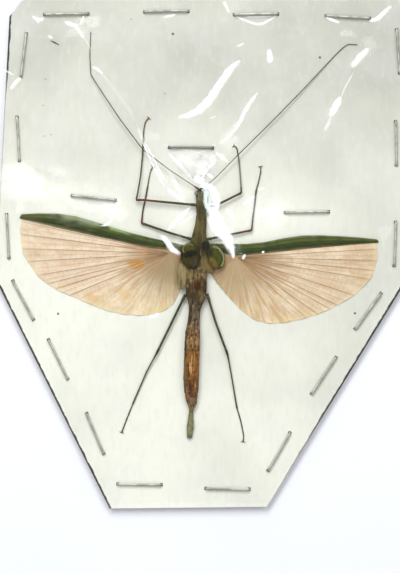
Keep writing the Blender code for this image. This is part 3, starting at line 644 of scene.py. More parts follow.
def along(path, step, marks):
    """Even points on a path, how many marked lengths of it lie behind each, and how far along each is."""
    walked = np.concatenate([[0], np.cumsum([(b - a).length for a, b in zip(path, path[1:])])])
    places = np.array(path)
    at = np.linspace(0, walked[-1], max(8, round(walked[-1] / step)))
    points = [Vector([np.interp(s, walked, places[:, k]) for k in range(3)]) for s in at]
    stops = [0] + [walked[min(range(len(path)), key=lambda i: (path[i] - mark).length)] for mark in marks]
    stops.append(walked[-1])
    return points, [float(np.interp(s, stops, range(len(stops)))) for s in at], at


def limb(nodes, start, profiles, ringed=0.0):
    """One limb without a seam, through the solids of its pieces."""
    lines = []
    for node, (_, radii) in zip(nodes, profiles):
        lines.append(centre_line(node, start, radii[-2]))
        start = lines[-1][-1]
    lines[-1] = ends_of(nodes[-1], lines[-1])
    first = lines[0][0] - (lines[0][2] - lines[0][0]).normalized() * LIMB_ROOT
    path, knees = [first] + lines[0], []
    for line in lines[1:]:
        knees.append(meeting(path, line))
        path += [knees[-1]] + line
    points, shares, walked = along(softened(path, KNEE_REACH), LIMB_STEP, knees)
    rings = []
    for i, (point, share) in enumerate(zip(points, shares)):
        piece = min(int(share), len(profiles) - 1)
        radius = float(np.interp(share - piece, *profiles[piece]))
        if ringed:
            radius *= 1 + ringed * (walked[i] / FEELER_RING % 1)
        rings.append((point, heading(points, i), radius, None))
    tip, way, radius, _ = rings[-1]
    rings.append((tip + way * radius * TIP_LONG, way, radius * TIP_SLIM, None))
    return loft(rings, LIMB_SIDES), points


def make_root(side):
    """The fleshy root between the trunk and a hind wing: a flattened, puckered lobe."""
    middle, half, turn = WING_ROOTS[side]
    clear_choice()
    bpy.ops.mesh.primitive_uv_sphere_add(segments=40, ring_count=20, radius=1, location=middle)
    piece = sized(half)
    edit_all()
    bpy.ops.transform.rotate(value=math.radians(-turn), orient_axis="Z", center_override=middle)
    leave()
    for v in piece.data.vertices:
        v.co.z += 0.07 * noise_at(v.co.x * 1.7, v.co.y * 0.8, 9.0)
    return piece


def make_skin(skin, limb_skin):
    """Trunk, legs, feelers and the roots of the wings grown together. Gives the ends of the feet."""
    trunk = make_trunk()
    trunk.data.materials.append(skin)
    limbs, tips, flesh = [], [], list(TRUNK)
    for leg in LEGS:
        nodes = [f"{leg}_{piece}" for piece in LEG_PIECES]
        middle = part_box(nodes[0])[0].lerp(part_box(nodes[0])[1], 0.5) / MM
        made, points = limb(nodes, Vector((HIP_X, middle.y, middle.z)), (FEMUR, TIBIA, TARSUS))
        limbs.append(made)
        tips.append((points[-1], (points[-1] - points[-3]).normalized()))
        flesh += nodes
    for side in SIDES:
        nodes = [f"antenna_{side}_base", f"antenna_{side}_tip"]
        made, _ = limb(nodes, Vector(BROW), (FEELER_BASE, FEELER_TIP), ringed=FEELER_FLARE)
        limbs.append(made)
        flesh += nodes
    roots = [make_root(side) for side in SIDES]
    for made in roots + limbs:
        made.data.materials.append(skin if made in roots else limb_skin)
        grown = {"operation": "UNION", "object": made, "solver": "EXACT", "material_mode": "TRANSFER"}
        apply_modifier(trunk, "BOOLEAN", **grown)
        choose(made)
        bpy.ops.object.delete()
    settle(trunk, "skin", flesh, angle=50)
    return tips


# Wings.


def wing_shape(side):
    """What stands for the fan's top, and its outline around the hub, as radii by degree."""
    tree = solid_tree(f"hindwing_fan_{side}")
    hub = VEIN_HUB[side]
    radii = []
    for degree in range(360):
        way = (math.cos(math.radians(degree)), math.sin(math.radians(degree)))
        short, long = 0.1, 45.0
        for _ in range(16):
            half = (short + long) / 2
            inside = top_of(tree, hub[0] + way[0] * half, hub[1] + way[1] * half) is not None
            short, long = (half, long) if inside else (short, half)
        radii.append(short)
    return tree, np.array(radii + radii[:1])


def fan_angles(side):
    """Directions of the fan's columns: even ones, and three close together at each vein."""
    angles = [i * 360 / FAN_COLUMNS for i in range(FAN_COLUMNS)]
    veins = [v % 360 for v in MAIN_VEINS[side] + FAINT_VEINS[side]]
    angles = [a for a in angles if all(abs(a - v) > VEIN_HALF * 1.6 for v in veins)]
    for vein in veins:
        angles += [vein - VEIN_HALF, vein, vein + VEIN_HALF]
    return sorted(a % 360 for a in angles)


def vein_at(side, degree):
    """How far a direction lies on a vein: 1 on a main vein, less on a faint one."""
    strength = 0.0
    for veins, most in ((MAIN_VEINS[side], 1.0), (FAINT_VEINS[side], 0.22)):
        for vein in veins:
            off = abs((degree - vein + 180) % 360 - 180)
            strength = max(strength, most * max(0.0, 1 - off / VEIN_HALF))
    return strength


def make_fan(side, membrane):
    """The fan: an outline drawn in to the hub, pleated between its veins, with the veins raised on it."""
    tree, radii = wing_shape(side)
    hub = Vector((*VEIN_HUB[side], 0))
    margin_height = box_of("card")[1].z + FAN_LOW
    angles = fan_angles(side)
    clear_choice()
    bpy.ops.mesh.primitive_circle_add(vertices=len(angles), radius=1, fill_type="NOTHING", location=hub)
    apply_place()
    piece = bpy.context.object
    for v, degree in zip(piece.data.vertices, angles):
        turn = math.radians(degree)
        reach = np.interp(degree, range(361), radii) * FAN_INSET
        reach -= FAN_FRAY * abs(math.sin(turn * SCALLOPS)) + FAN_FRAY * noise_at(degree * 0.31, 2, 0)
        v.co = hub + Vector((math.cos(turn), math.sin(turn), 0)) * reach
    edit_all()
    bpy.ops.mesh.select_mode(type="EDGE")
    bpy.ops.mesh.select_all(action="SELECT")
    for row in range(1, FAN_ROWS):
        drawn_in = (1 - row / FAN_ROWS) / (1 - (row - 1) / FAN_ROWS)
        bpy.ops.mesh.extrude_edges_move()
        bpy.ops.transform.resize(value=(drawn_in,) * 3, center_override=hub)
    bpy.ops.mesh.edge_face_add()
    bpy.ops.mesh.poke()
    leave()

    vein = piece.data.attributes.new("vein", "FLOAT", "POINT")
    reached = piece.data.attributes.new("reach", "FLOAT", "POINT")
    for i, v in enumerate(piece.data.vertices):
        out = v.co - hub
        degree = math.degrees(math.atan2(out.y, out.x)) % 360
        share = min(out.length / float(np.interp(degree, range(361), radii)), 1)
        on_vein = vein_at(side, degree) * min(1, out.length / 1.2) * min(1, (1.0 - share) / 0.06 + 0.15)
        inward = hub + out * min(FAN_SURE, FAN_SURE / max(share, 0.01))
        nearest = top_of(tree, *(inward if share > FAN_SURE else v.co).xy)
        pleat = PLEAT * math.cos(math.radians(degree) * PLEATS) * share
        ripple = RIPPLE * noise_at(v.co.x * 0.35, v.co.y * 0.35, 4.0) * share
        v.co.z = (nearest or 2.0) - FAN_DEEP
        v.co.z += (margin_height - v.co.z) * share ** 2 + pleat + ripple + VEIN_PROUD * on_vein
        vein.data[i].value = on_vein
        reached.data[i].value = share
    face_outward(piece)
    if piece.data.polygons[0].normal.z < 0:
        edit_all(piece)
        bpy.ops.mesh.flip_normals()
        leave()
    thicken(piece, FAN_THICK)
    settle(piece, f"wing_fan_{side}", [f"hindwing_fan_{side}"], membrane, angle=70)


def make_strip(side, green):
    """The stiff front strip: a long grid, vaulted, with lengthwise veins, laid on the fan's first vein."""
    node = f"hindwing_edge_{side}"
    cuts = cuts_across(node, Vector((1, 0, 0)), STRIP_COLUMNS, 0.03)
    clear_choice()
    bpy.ops.mesh.primitive_grid_add(x_subdivisions=STRIP_COLUMNS - 1, y_subdivisions=STRIP_ROWS, size=1)
    piece = bpy.context.object
    across = piece.data.attributes.new("across", "FLOAT", "POINT")
    for i, v in enumerate(piece.data.vertices):
        share = v.co.y + 0.5
        middle, wide, _ = cuts[round((v.co.x + 0.5) * (STRIP_COLUMNS - 1))]
        back, front = middle.y - wide * STRIP_FIT - STRIP_OVERLAP, middle.y + wide * STRIP_FIT
        vault = STRIP_VAULT * math.sin(math.pi * min(share * 1.15, 1))
        cord = CORD_PROUD * math.cos(share * 2 * math.pi * CORDS) * min(1, wide)
        height = middle.z - STRIP_SUNK + vault + cord - STRIP_TILT * (1 - share)
        v.co = (middle.x, back + (front - back) * share, height)
        across.data[i].value = share
    thicken(piece, STRIP_THICK)
    settle(piece, f"wing_strip_{side}", [node], green, angle=70)


def make_tegmen(side, case):
    """A short domed wing case: half a ball, keeled and shouldered, hollow below."""
    node = f"forewing_{side}"
    middle, way = long_way(node)
    if way.y < 0:
        way = -way
    cross = UP.cross(way)
    low, high = box_of(node)
    half_wide = cuts_across(node, way, 3, 0.9)[1][1]
    half_long = half_length(node, way)
    clear_choice()
    bpy.ops.mesh.primitive_uv_sphere_add(segments=56, ring_count=28, radius=1)
    edit_all()
    bpy.ops.mesh.bisect(plane_co=(0, 0, 0.03), plane_no=(0, 0, 1), clear_inner=True)
    leave()
    piece = bpy.context.object
    placed = piece.data.attributes.new("place", "FLOAT_VECTOR", "POINT")
    for i, v in enumerate(piece.data.vertices):
        u, w, z = v.co
        placed.data[i].vector = (u, w, z)
        inner = w if side == "right" else -w
        keel = TEGMEN_KEEL * bell(inner + 0.25 - 0.2 * u, 0, 0.13) * (1 - abs(u)) * z
        shoulder = TEGMEN_SHOULDER * bell(u, 0.45, 0.3) * bell(inner, -0.3, 0.35)
        veins = TEGMEN_VEIN * math.cos(w * 22 + u * 3) * z
        slim = TEGMEN_FIT - 0.07 * max(0, -u) ** 2
        height = (z ** 0.8) * (TEGMEN_DOME + keel + shoulder + veins) * min(1, high.z - low.z) * TEGMEN_HIGH
        v.co = middle + way * u * half_long * TEGMEN_FIT + cross * w * half_wide * slim
        v.co.z = low.z + 0.02 + height
    face_outward(piece)
    thicken(piece, TEGMEN_THICK)
    settle(piece, f"tegmen_{side}", [node], case, angle=60)


# Head pieces, claws, wires and film.


def make_eye(side, glassy):
    """A bulging eye, flattened a little fore and aft."""
    low, high = box_of(f"eye_{side}")
    clear_choice()
    bpy.ops.mesh.primitive_ico_sphere_add(
        subdivisions=4, radius=(high.x - low.x) / 2 * EYE_FIT, location=low.lerp(high, 0.5)
    )
    settle(sized(EYE_SHAPE), f"eye_ball_{side}", [f"eye_{side}"], glassy)


def make_mouth(horn):
    """Upper lip, jaws and palps under the front of the head."""
    low, high = box_of("head")
    base = Vector(((low.x + high.x) / 2, high.y, low.z))
    clear_choice()
    bpy.ops.mesh.primitive_cube_add(size=1, location=base + Vector(LIP_AT))
    parts = [sized(LIP_SIZE)]
    edit_all()
    bpy.ops.mesh.bevel(offset=0.07, segments=3, affect="EDGES")
    leave()
    for hand in (-1, 1):
        for route in (JAW, PALP):
            path = [base + Vector((hand * x, y, z)) for x, y, z, _ in route]
            parts.append(tube(path, [step[3] for step in route], 10))
    settle(joined(parts), "mouthparts", (), horn, angle=50)


def make_claws(leg, tip, way, horn):
    """Two hooked claws at the end of a foot."""
    side = way.cross(UP).normalized()
    parts = []
    for hand in (-1, 1):
        path = [tip + way * (ahead - 0.04) + side * hand * out + UP * rise for ahead, out, rise, _ in CLAW]
        parts.append(tube(path, [step[3] for step in CLAW], 8))
    settle(joined(parts), f"claws_{leg[4:]}", (), horn, angle=50)


def make_wire():
    """One staple in its own place: a flattened wire, bent down at both ends and folded in below."""
    low, high = box_of("staple_01")
    half = half_length("staple_01", long_way("staple_01")[1])
    top, foot = high.z - WIRE_HIGH - WIRE_GAP, low.z + WIRE_HIGH + WIRE_GAP
    outside, bend = half - WIRE_HIGH - WIRE_GAP, WIRE_BEND
    turned_in = -outside + bend
    route = [(-outside + WIRE_FOLD, foot), (turned_in, foot)]
    for t in (0.4, 0.8, 1.2, 1.5):
        route.append((turned_in - bend * math.sin(t), foot + bend - bend * math.cos(t)))
    for t in (0.1, 0.4, 0.8, 1.2, 1.5):
        route.append((turned_in - bend * math.cos(t), top - bend + bend * math.sin(t)))
    route += [(-outside * k / 20, top - WIRE_SAG * (1 - (k / 20) ** 2)) for k in range(17, 0, -2)]
    route += [(-x, z) for x, z in reversed(route)]
    points = [Vector((x, 0, z)) for x, z in route]
    rings = [(p, heading(points, i), WIRE_HIGH, (1, WIRE_WIDE / WIRE_HIGH, 1)) for i, p in enumerate(points)]
    return loft(rings, 12, upright_turn, folded=True)


def make_wires(steel):
    """The staple is copied to every place, and each copy gets its own slight twist and bow."""
    pattern = make_wire()
    names = sorted(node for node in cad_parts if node.startswith("staple"))
    for i, node in enumerate(names):
        middle, way = long_way(node)
        choose(pattern)
        bpy.ops.object.duplicate()
        piece = bpy.context.object
        bow, lean = WIRE_BOW * noise_at(i * 1.7, 0.3, 0), WIRE_LEAN * noise_at(i * 2.3, 5.1, 0)
        for v in piece.data.vertices:
            along_it = v.co.x / WIRE_HALF
            v.co.y += bow * (1 - along_it ** 2) * (v.co.z > BOWED_FROM) + lean * along_it
        piece.rotation_euler = (0, 0, math.atan2(way.y, way.x))
        piece.location = (middle.x, middle.y, 0)
        apply_place()
        settle(piece, f"wire_{i + 1:02d}", [node], steel, angle=40)
    choose(pattern)
    bpy.ops.object.delete()


def fold_heights(places):
    """How far the film stands up in its folds at many places."""
    raised = np.zeros(len(places))
    for _, half, *path in FOLDS_AND_GLINTS:
        for a, b in zip(path, path[1:]):
            start, step = np.array(a), np.array(b) - np.array(a)
            share = np.clip((places - start) @ step / (step @ step), 0, 1)
            off = np.linalg.norm(places - start - share[:, None] * step, axis=1) / (half * CREASE_FOOT)
            raised = np.maximum(raised, half * CREASE_RISE * np.clip(1 - off, 0, 1))
    return raised


def film_heights(tree, places):
    """How high the film lies at many places: a little below the top of the solid film, wavy and creased."""
    low, high = box_of("film")
    middle = ((low + high) / 2).xy
    heights = []
    for x, y in places:
        inward = Vector((x, y)).lerp(middle, RIM_REACH / max((middle - Vector((x, y))).length, RIM_REACH))
        top = top_of(tree, x, y) or top_of(tree, inward.x, inward.y) or low.z + 0.2
        heights.append(top - FILM_SUNK + FILM_WAVE * noise_at(x * 0.16, y * 0.16, 1.0))
    return np.array(heights) + fold_heights(np.array(places))


def make_glint_ribbon(tree, white, half, *path):
    """One narrow, low ridge along a fold, tapered at its ends, with its painted glint's strength."""
    points, _, _ = along(rounded([Vector((x, y, 0)) for x, y in path]), FOLD_STEP, [])
    rows = len(points) - 1
    clear_choice()
    bpy.ops.mesh.primitive_grid_add(x_subdivisions=rows, y_subdivisions=FOLD_ROWS, size=1)
    piece = bpy.context.object
    shine = piece.data.attributes.new("white", "FLOAT", "POINT")
    places, crowns = [], []
    for i, v in enumerate(piece.data.vertices):
        share, across = v.co.x + 0.5, v.co.y * 2
        row = round(share * rows)
        at = points[row]
        taper = math.sin(math.pi * (0.02 + 0.96 * share)) ** 0.6
        frayed = 1 + 0.35 * noise_at(at.x * 0.9, at.y * 0.9, across)
        reach = half * (0.35 + 0.75 * taper) * frayed
        place = at + UP.cross(heading(points, row)) * across * reach
        places.append((place.x, place.y))
        crowns.append(FOLD_LIFT + FOLD_CROWN * reach * (1 - across ** 2))
        # The painted glint's strength, most in the middle of the fold.
        shine.data[i].value = white * (1 - across ** 2) * min(1, taper * 1.3)
    for v, place, height, crown in zip(piece.data.vertices, places, film_heights(tree, places), crowns):
        v.co = (*place, height + crown)
    return piece


def make_glint_ribbons(tree, glint_finish):
    """Painted glints: a white ridge along each fold of the film, all in one piece, in place of the film's
    reflections.
    """
    folds = joined([make_glint_ribbon(tree, *fold) for fold in FOLDS_AND_GLINTS])
    thicken(folds, FOLD_THICK)
    settle(folds, "glint_ribbons", (), glint_finish)
    folds.visible_shadow = False


def film_outline():
    """The corners of the solid film, seen from above, in order."""
    points = np.unique(corners("film").reshape(-1, 3)[:, :2].round(3), axis=0)
    middle = points.mean(axis=0)
    hull = []
    for turn in np.linspace(0, 2 * math.pi, 720, endpoint=False):
        way = np.array((math.cos(turn), math.sin(turn)))
        far = tuple(points[int(np.argmax((points - middle) @ way))])
        if not hull or far != hull[-1]:
            hull.append(far)
    if hull[0] == hull[-1]:
        hull.pop()
    return [at for i, at in enumerate(hull) if (Vector(at) - Vector(hull[i - 1])).length > 0.3]


def make_film(tree, clear):
    """The clear sheet: a grid laid over what the solid film lies on, creased, and as thin as film."""
    low, high = box_of("film")
    size, middle = high - low, (low + high) / 2
    clear_choice()
    bpy.ops.mesh.primitive_grid_add(
        x_subdivisions=round(size.x / FILM_STEP), y_subdivisions=round(size.y / FILM_STEP), size=1,
        location=(middle.x, middle.y, 0),
    )
    piece = sized((size.x, size.y, 1))
    outline = film_outline()
    bpy.ops.object.mode_set(mode="EDIT")
    for (ax, ay), (bx, by) in zip(outline, outline[1:] + outline[:1]):
        bpy.ops.mesh.select_all(action="SELECT")
        outward = Vector((by - ay, ax - bx, 0)).normalized()
        bpy.ops.mesh.bisect(plane_co=(ax, ay, 0), plane_no=outward, clear_outer=True)
    leave()
    vertices = piece.data.vertices
    for v, height in zip(vertices, film_heights(tree, [(v.co.x, v.co.y) for v in vertices])):
        v.co.z = height
    apply_modifier(piece, "SMOOTH", factor=0.5, iterations=2)
    apply_modifier(piece, "SOLIDIFY", thickness=FILM_THICK, offset=0)
    settle(piece, "clear_film", ["film"], clear)
    piece.visible_shadow = False


def make_fragment(horn):
    """A broken bit of feeler lying on the card."""
    card_top = box_of("card")[1].z
    ends = [Vector((x, y, card_top + over)) for x, y, over in FRAGMENT_ENDS]
    path = [ends[0].lerp(ends[1], share) for share, _ in FRAGMENT]
    settle(tube(path, [radius for _, radius in FRAGMENT], 10), "fragment", (), horn, angle=50)


# Shader maths.


def operator(operation, turned=False):
    """A method for one operation of the Math node, or its reflected form."""

    def method(self, *others):
        values = (self, *others)
        return self.calc(operation, *(reversed(values) if turned else values))

    return method


class Wire:
    """A number, colour or direction on its way through a material: an expression adds Math nodes."""

    __add__, __radd__ = operator("ADD"), operator("ADD", turned=True)
    __sub__, __rsub__ = operator("SUBTRACT"), operator("SUBTRACT", turned=True)
    __mul__, __rmul__ = operator("MULTIPLY"), operator("MULTIPLY", turned=True)
    __truediv__, __pow__ = operator("DIVIDE"), operator("POWER")
    most, least, size = operator("MAXIMUM"), operator("MINIMUM"), operator("ABSOLUTE")
    sine, whole, fraction = operator("SINE"), operator("FLOOR"), operator("FRACT")

    def __init__(self, tree, socket=None):
        self.tree = tree
        self.socket = socket

    def node(self, kind, settings=None, inputs=None, out=0):
        """Any node: its settings, a ramp's stops among them, and the values or wires of its sockets."""
        made = self.tree.nodes.new(kind)
        for key, value in (settings or {}).items():
            if key != "stops":
                setattr(made, key, value)
                continue
            stops = made.color_ramp.elements
            while len(stops) < len(value):
                stops.new(0.5)
            for stop, (position, colour) in zip(stops, value):
                stop.position = position
                stop.color = (*colour, 1)
        for key, value in (inputs or {}).items():
            if isinstance(value, Wire):
                self.tree.links.new(value.socket, made.inputs[key])
            else:
                made.inputs[key].default_value = value
        return Wire(self.tree, made.outputs[out])

    def calc(self, operation, *values):
        return self.node("ShaderNodeMath", {"operation": operation}, dict(enumerate(values)))

    def rise(self, low, high):
        """0 below low and 1 above high, with soft ends."""
        inputs = {"Value": self, "From Min": low, "From Max": high}
        return self.node("ShaderNodeMapRange", {"interpolation_type": "SMOOTHSTEP"}, inputs)

    def ramp(self, *stops):
        return self.node("ShaderNodeValToRGB", {"stops": stops}, {"Fac": self})

    def mix(self, near, far, blend="MIX"):
        """From one colour to another as this number goes from 0 to 1."""
        near, far = ((*c, 1) if isinstance(c, tuple) else c for c in (near, far))
        settings = {"data_type": "RGBA", "blend_type": blend, "clamp_factor": True}
        return self.node("ShaderNodeMix", settings, {0: self, 6: near, 7: far}, out=2)

    def stretched(self, x, y, z):
        return self.node("ShaderNodeVectorMath", {"operation": "MULTIPLY"}, {0: self, 1: (x, y, z)})

    def cloud(self, scale, detail=2.0, rough=0.5):
        """Even noise from 0 to 1 on this place."""
        inputs = {"Vector": self, "Scale": scale, "Detail": detail, "Roughness": rough}
        return self.node("ShaderNodeTexNoise", {}, inputs)

    def cells(self, scale):
        return self.node("ShaderNodeTexVoronoi", {}, {"Vector": self, "Scale": scale})

    def parts(self):
        """The three numbers of a place."""
        split = self.node("ShaderNodeSeparateXYZ", {}, {0: self}).socket.node
        return [Wire(self.tree, socket) for socket in split.outputs]

    def attribute(self, name, out="Fac"):
        return self.node("ShaderNodeAttribute", {"attribute_name": name}, {}, out)

    def normal_up(self):
        """How far the surface faces up, from -1 to 1."""
        return self.node("ShaderNodeNewGeometry", out="Normal").parts()[2]


# Finishes.


def finish(name, paint, *details, **constants):
    """A new material: `paint` gets its shader and the surface's own place, in millimetres."""
    made = bpy.data.materials.new(name)
    made.use_nodes = True
    shader = made.node_tree.nodes["Principled BSDF"]
    for key, value in constants.items():
        shader.inputs[key.replace("_", " ")].default_value = value
    place = Wire(made.node_tree).node("ShaderNodeTexCoord", out="Object").stretched(1 / MM, 1 / MM, 1 / MM)
    paint(shader, place, *details)
    return made


def connect(shader, colour, roughness, height, deep):
    """Leads wires to the shader. The height is in units of `deep` millimetres."""
    links = shader.id_data.links
    links.new(colour.socket, shader.inputs["Base Color"])
    links.new(roughness.socket, shader.inputs["Roughness"])
    bump = height.node("ShaderNodeBump", {}, {"Height": height, "Distance": deep * MM, "Strength": 1.0})
    links.new(bump.socket, shader.inputs["Normal"])


def near(x, y, at, size, soft):
    """1 within an oval of half widths `size` around a point, fading outwards."""
    off = ((x - at[0]) / size[0]) ** 2 + ((y - at[1]) / size[1]) ** 2
    return 1 - off.rise(1 - soft, 1 + soft)


def blots(x, y, soft, ovals):
    """How far a place lies in one of some ovals: each is its middle, its half widths and its strength."""
    found = None
    for at, size, strength in ovals:
        blot = near(x, y, at, size, soft) * strength
        found = found.most(blot) if found else blot
    return found


def coats(colour, *layers):
    """Lays colours over a colour: each layer is where it lies, how strong it is there, and its colour."""
    for where, strength, over in layers:
        colour = (where * strength).mix(colour, over)
    return colour


def spotted(colour, x, y, spots):
    """Lays ovals over a colour: each is its middle, half widths, softness, strength and colour."""
    for at, size, soft, strength, over in spots:
        colour = coats(colour, (near(x, y, at, size, soft), strength, over))
    return colour


def paint_card(shader, place):
    """Grey-white board: fibres, dust, specks, painted shade to top and right, grey cut sides, dark rims."""
    x, y, z = place.parts()
    patches = place.cloud(0.05, 3.0).rise(0.35, 0.65)
    # Painted shade: the board is greyer towards its top and its right, besides random patches.
    grey = (patches * 0.3 + y.rise(4, 38) * 0.7 + x.rise(4, 34) * 0.3).least(1)
    fibres = place.stretched(2.4, 0.5, 1).cloud(3.0, 4.0, 0.7)
    grain = place.stretched(0.9, 0.3, 1).cloud(1.3, 4.0, 0.65)
    plies = place.stretched(0.2, 0.2, 12.0).cloud(1.0, 2.0).rise(0.38, 0.62).mix(CARD_CORE, CARD_PLIES)
    out = place.normal_up()
    colour = coats(
        grey.mix(PAPER_LIGHT, PAPER_SHADE_AND_GRAIN),
        (place.cloud(0.06, 2.0).rise(0.45, 0.75), 0.35, PAPER_WARM),
        (fibres.rise(0.45, 0.8), 0.1, PAPER_FIBRE),
        (grain.rise(0.48, 0.66), 0.12, PAPER_SHADE_AND_GRAIN),
        (grain.rise(0.46, 0.34), 0.12, PAPER_BRIGHT),
        (place.cloud(0.16, 4.0, 0.6).rise(0.5, 0.62), 0.16, PAPER_LILAC),
        (1 - place.stretched(1, 1, 0.2).cells(0.19).rise(0.016, 0.034), 0.35, DUST),
        (blots(x, y, 0.5, CARD_SPECKS) * z.rise(0.9, 1.1), 0.85, DUST),
        ((1 - out.size()).rise(0.3, 0.8), 1, plies),
    )
    # A thin dark rim along each listed cut edge of the top face, ragged by noise, fainter in some places
    # along Y and darker in others.
    rim_wobble = place.stretched(0.8, 0.8, 0.8).cloud(0.9, 3.0) * 0.34 + 0.06
    for (ax, ay), (bx, by), faint, dark in CARD_CUTS:
        way = Vector((bx - ax, by - ay)).normalized()
        inside = (x - ax) * -way.y + (y - ay) * way.x
        strength = y.rise(faint, dark)
        rim = (1 - (inside - rim_wobble * (0.5 + strength)).rise(-0.05, 0.08)) * out.rise(0.3, 0.8)
        colour = coats(colour, (rim, 0.45 + strength * 0.52, CARD_RIM))
    connect(shader, colour, 0.75 + fibres * 0.15, fibres * 0.6 + place.cloud(1.2, 3.0), 0.03)


def paint_film(shader, place):
    """Clear film: what lies below shows through, with glints from its gloss, and painted glare laid on in
    patches.
    """
    tree = shader.id_data
    tree.nodes.remove(shader)
    x, y, _ = place.parts()
    clear = place.node("ShaderNodeBsdfTransparent", {}, {"Color": FILM_TINT})
    gloss = place.node("ShaderNodeBsdfGlossy", {}, {"Color": PURE_WHITE, "Roughness": FILM_ROUGH})
    facing = place.node("ShaderNodeLayerWeight", {}, {"Blend": 0.5}, "Facing")
    both = place.node("ShaderNodeMixShader", {}, {0: facing ** 4 * 0.16 + 0.008, 1: clear, 2: gloss})
    # Painted glare: a white diffuse layer in the listed ovals, broken up by noise.
    glare_layer = place.node("ShaderNodeBsdfDiffuse", {}, {"Color": PURE_WHITE})
    painted_glare = sum(near(x, y, at, size, 0.9) * strength for at, size, strength in PAINTED_FILM_GLARE)
    painted_glare = painted_glare * place.cloud(0.25, 3.0).rise(0.25, 0.65)
    film = place.node("ShaderNodeMixShader", {}, {0: painted_glare, 1: both, 2: glare_layer})
    tree.links.new(film.socket, tree.nodes["Material Output"].inputs["Surface"])


def paint_fold_glints(shader, place):
    """Painted glints on folds: nearly clear at their rims, a bluish painted reflection and grey-green painted
    shade by the head.
    """
    x, y, _ = place.parts()
    streaky = place.cloud(1.1, 4.0, 0.6)
    # A bluish painted reflection beside the neck.
    colour = near(x, y, (0.6, 9.4), (0.7, 2.4), 0.8) * 0.8
    colour = colour.mix((0.9, 0.91, 0.91), (0.62, 0.8, 0.8))
    colour = coats(colour, (blots(x, y, 0.8, PAINTED_FOLD_SHADE), 0.85, (0.26, 0.33, 0.29)))
    seen = (place.attribute("white") ** 1.4) * (0.6 + streaky.rise(0.36, 0.62) * 0.33)
    links = shader.id_data.links
    links.new(seen.socket, shader.inputs["Alpha"])
    # The painted glints also glow a little, through their emission colour.
    links.new(colour.socket, shader.inputs["Emission Color"])
    connect(shader, colour, 0.2 + streaky * 0.2, streaky, 0.01)


def paint_steel(shader, place):
    """Dull wire, drawn lengthwise, with painted shade on the staple above the head."""
    x, y, _ = place.parts()
    drawn = place.stretched(1.5, 1.5, 6).cloud(4.0, 3.0)
    dull = place.cloud(0.7, 2.0).rise(0.35, 0.7)
    colour = coats(
        dull.mix((0.54, 0.54, 0.485), (0.38, 0.38, 0.335)),
        # Painted shade: the staple above the head is darkened.
        (near(x, y, (-2.8, 19.2), (5.5, 1.2), 0.3), 0.6, (0.1, 0.1, 0.08)),
        (drawn.rise(0.5, 0.8), 0.5, (0.62, 0.61, 0.56)),
    )
    connect(shader, colour, 0.52 + dull * 0.16, drawn, 0.01)


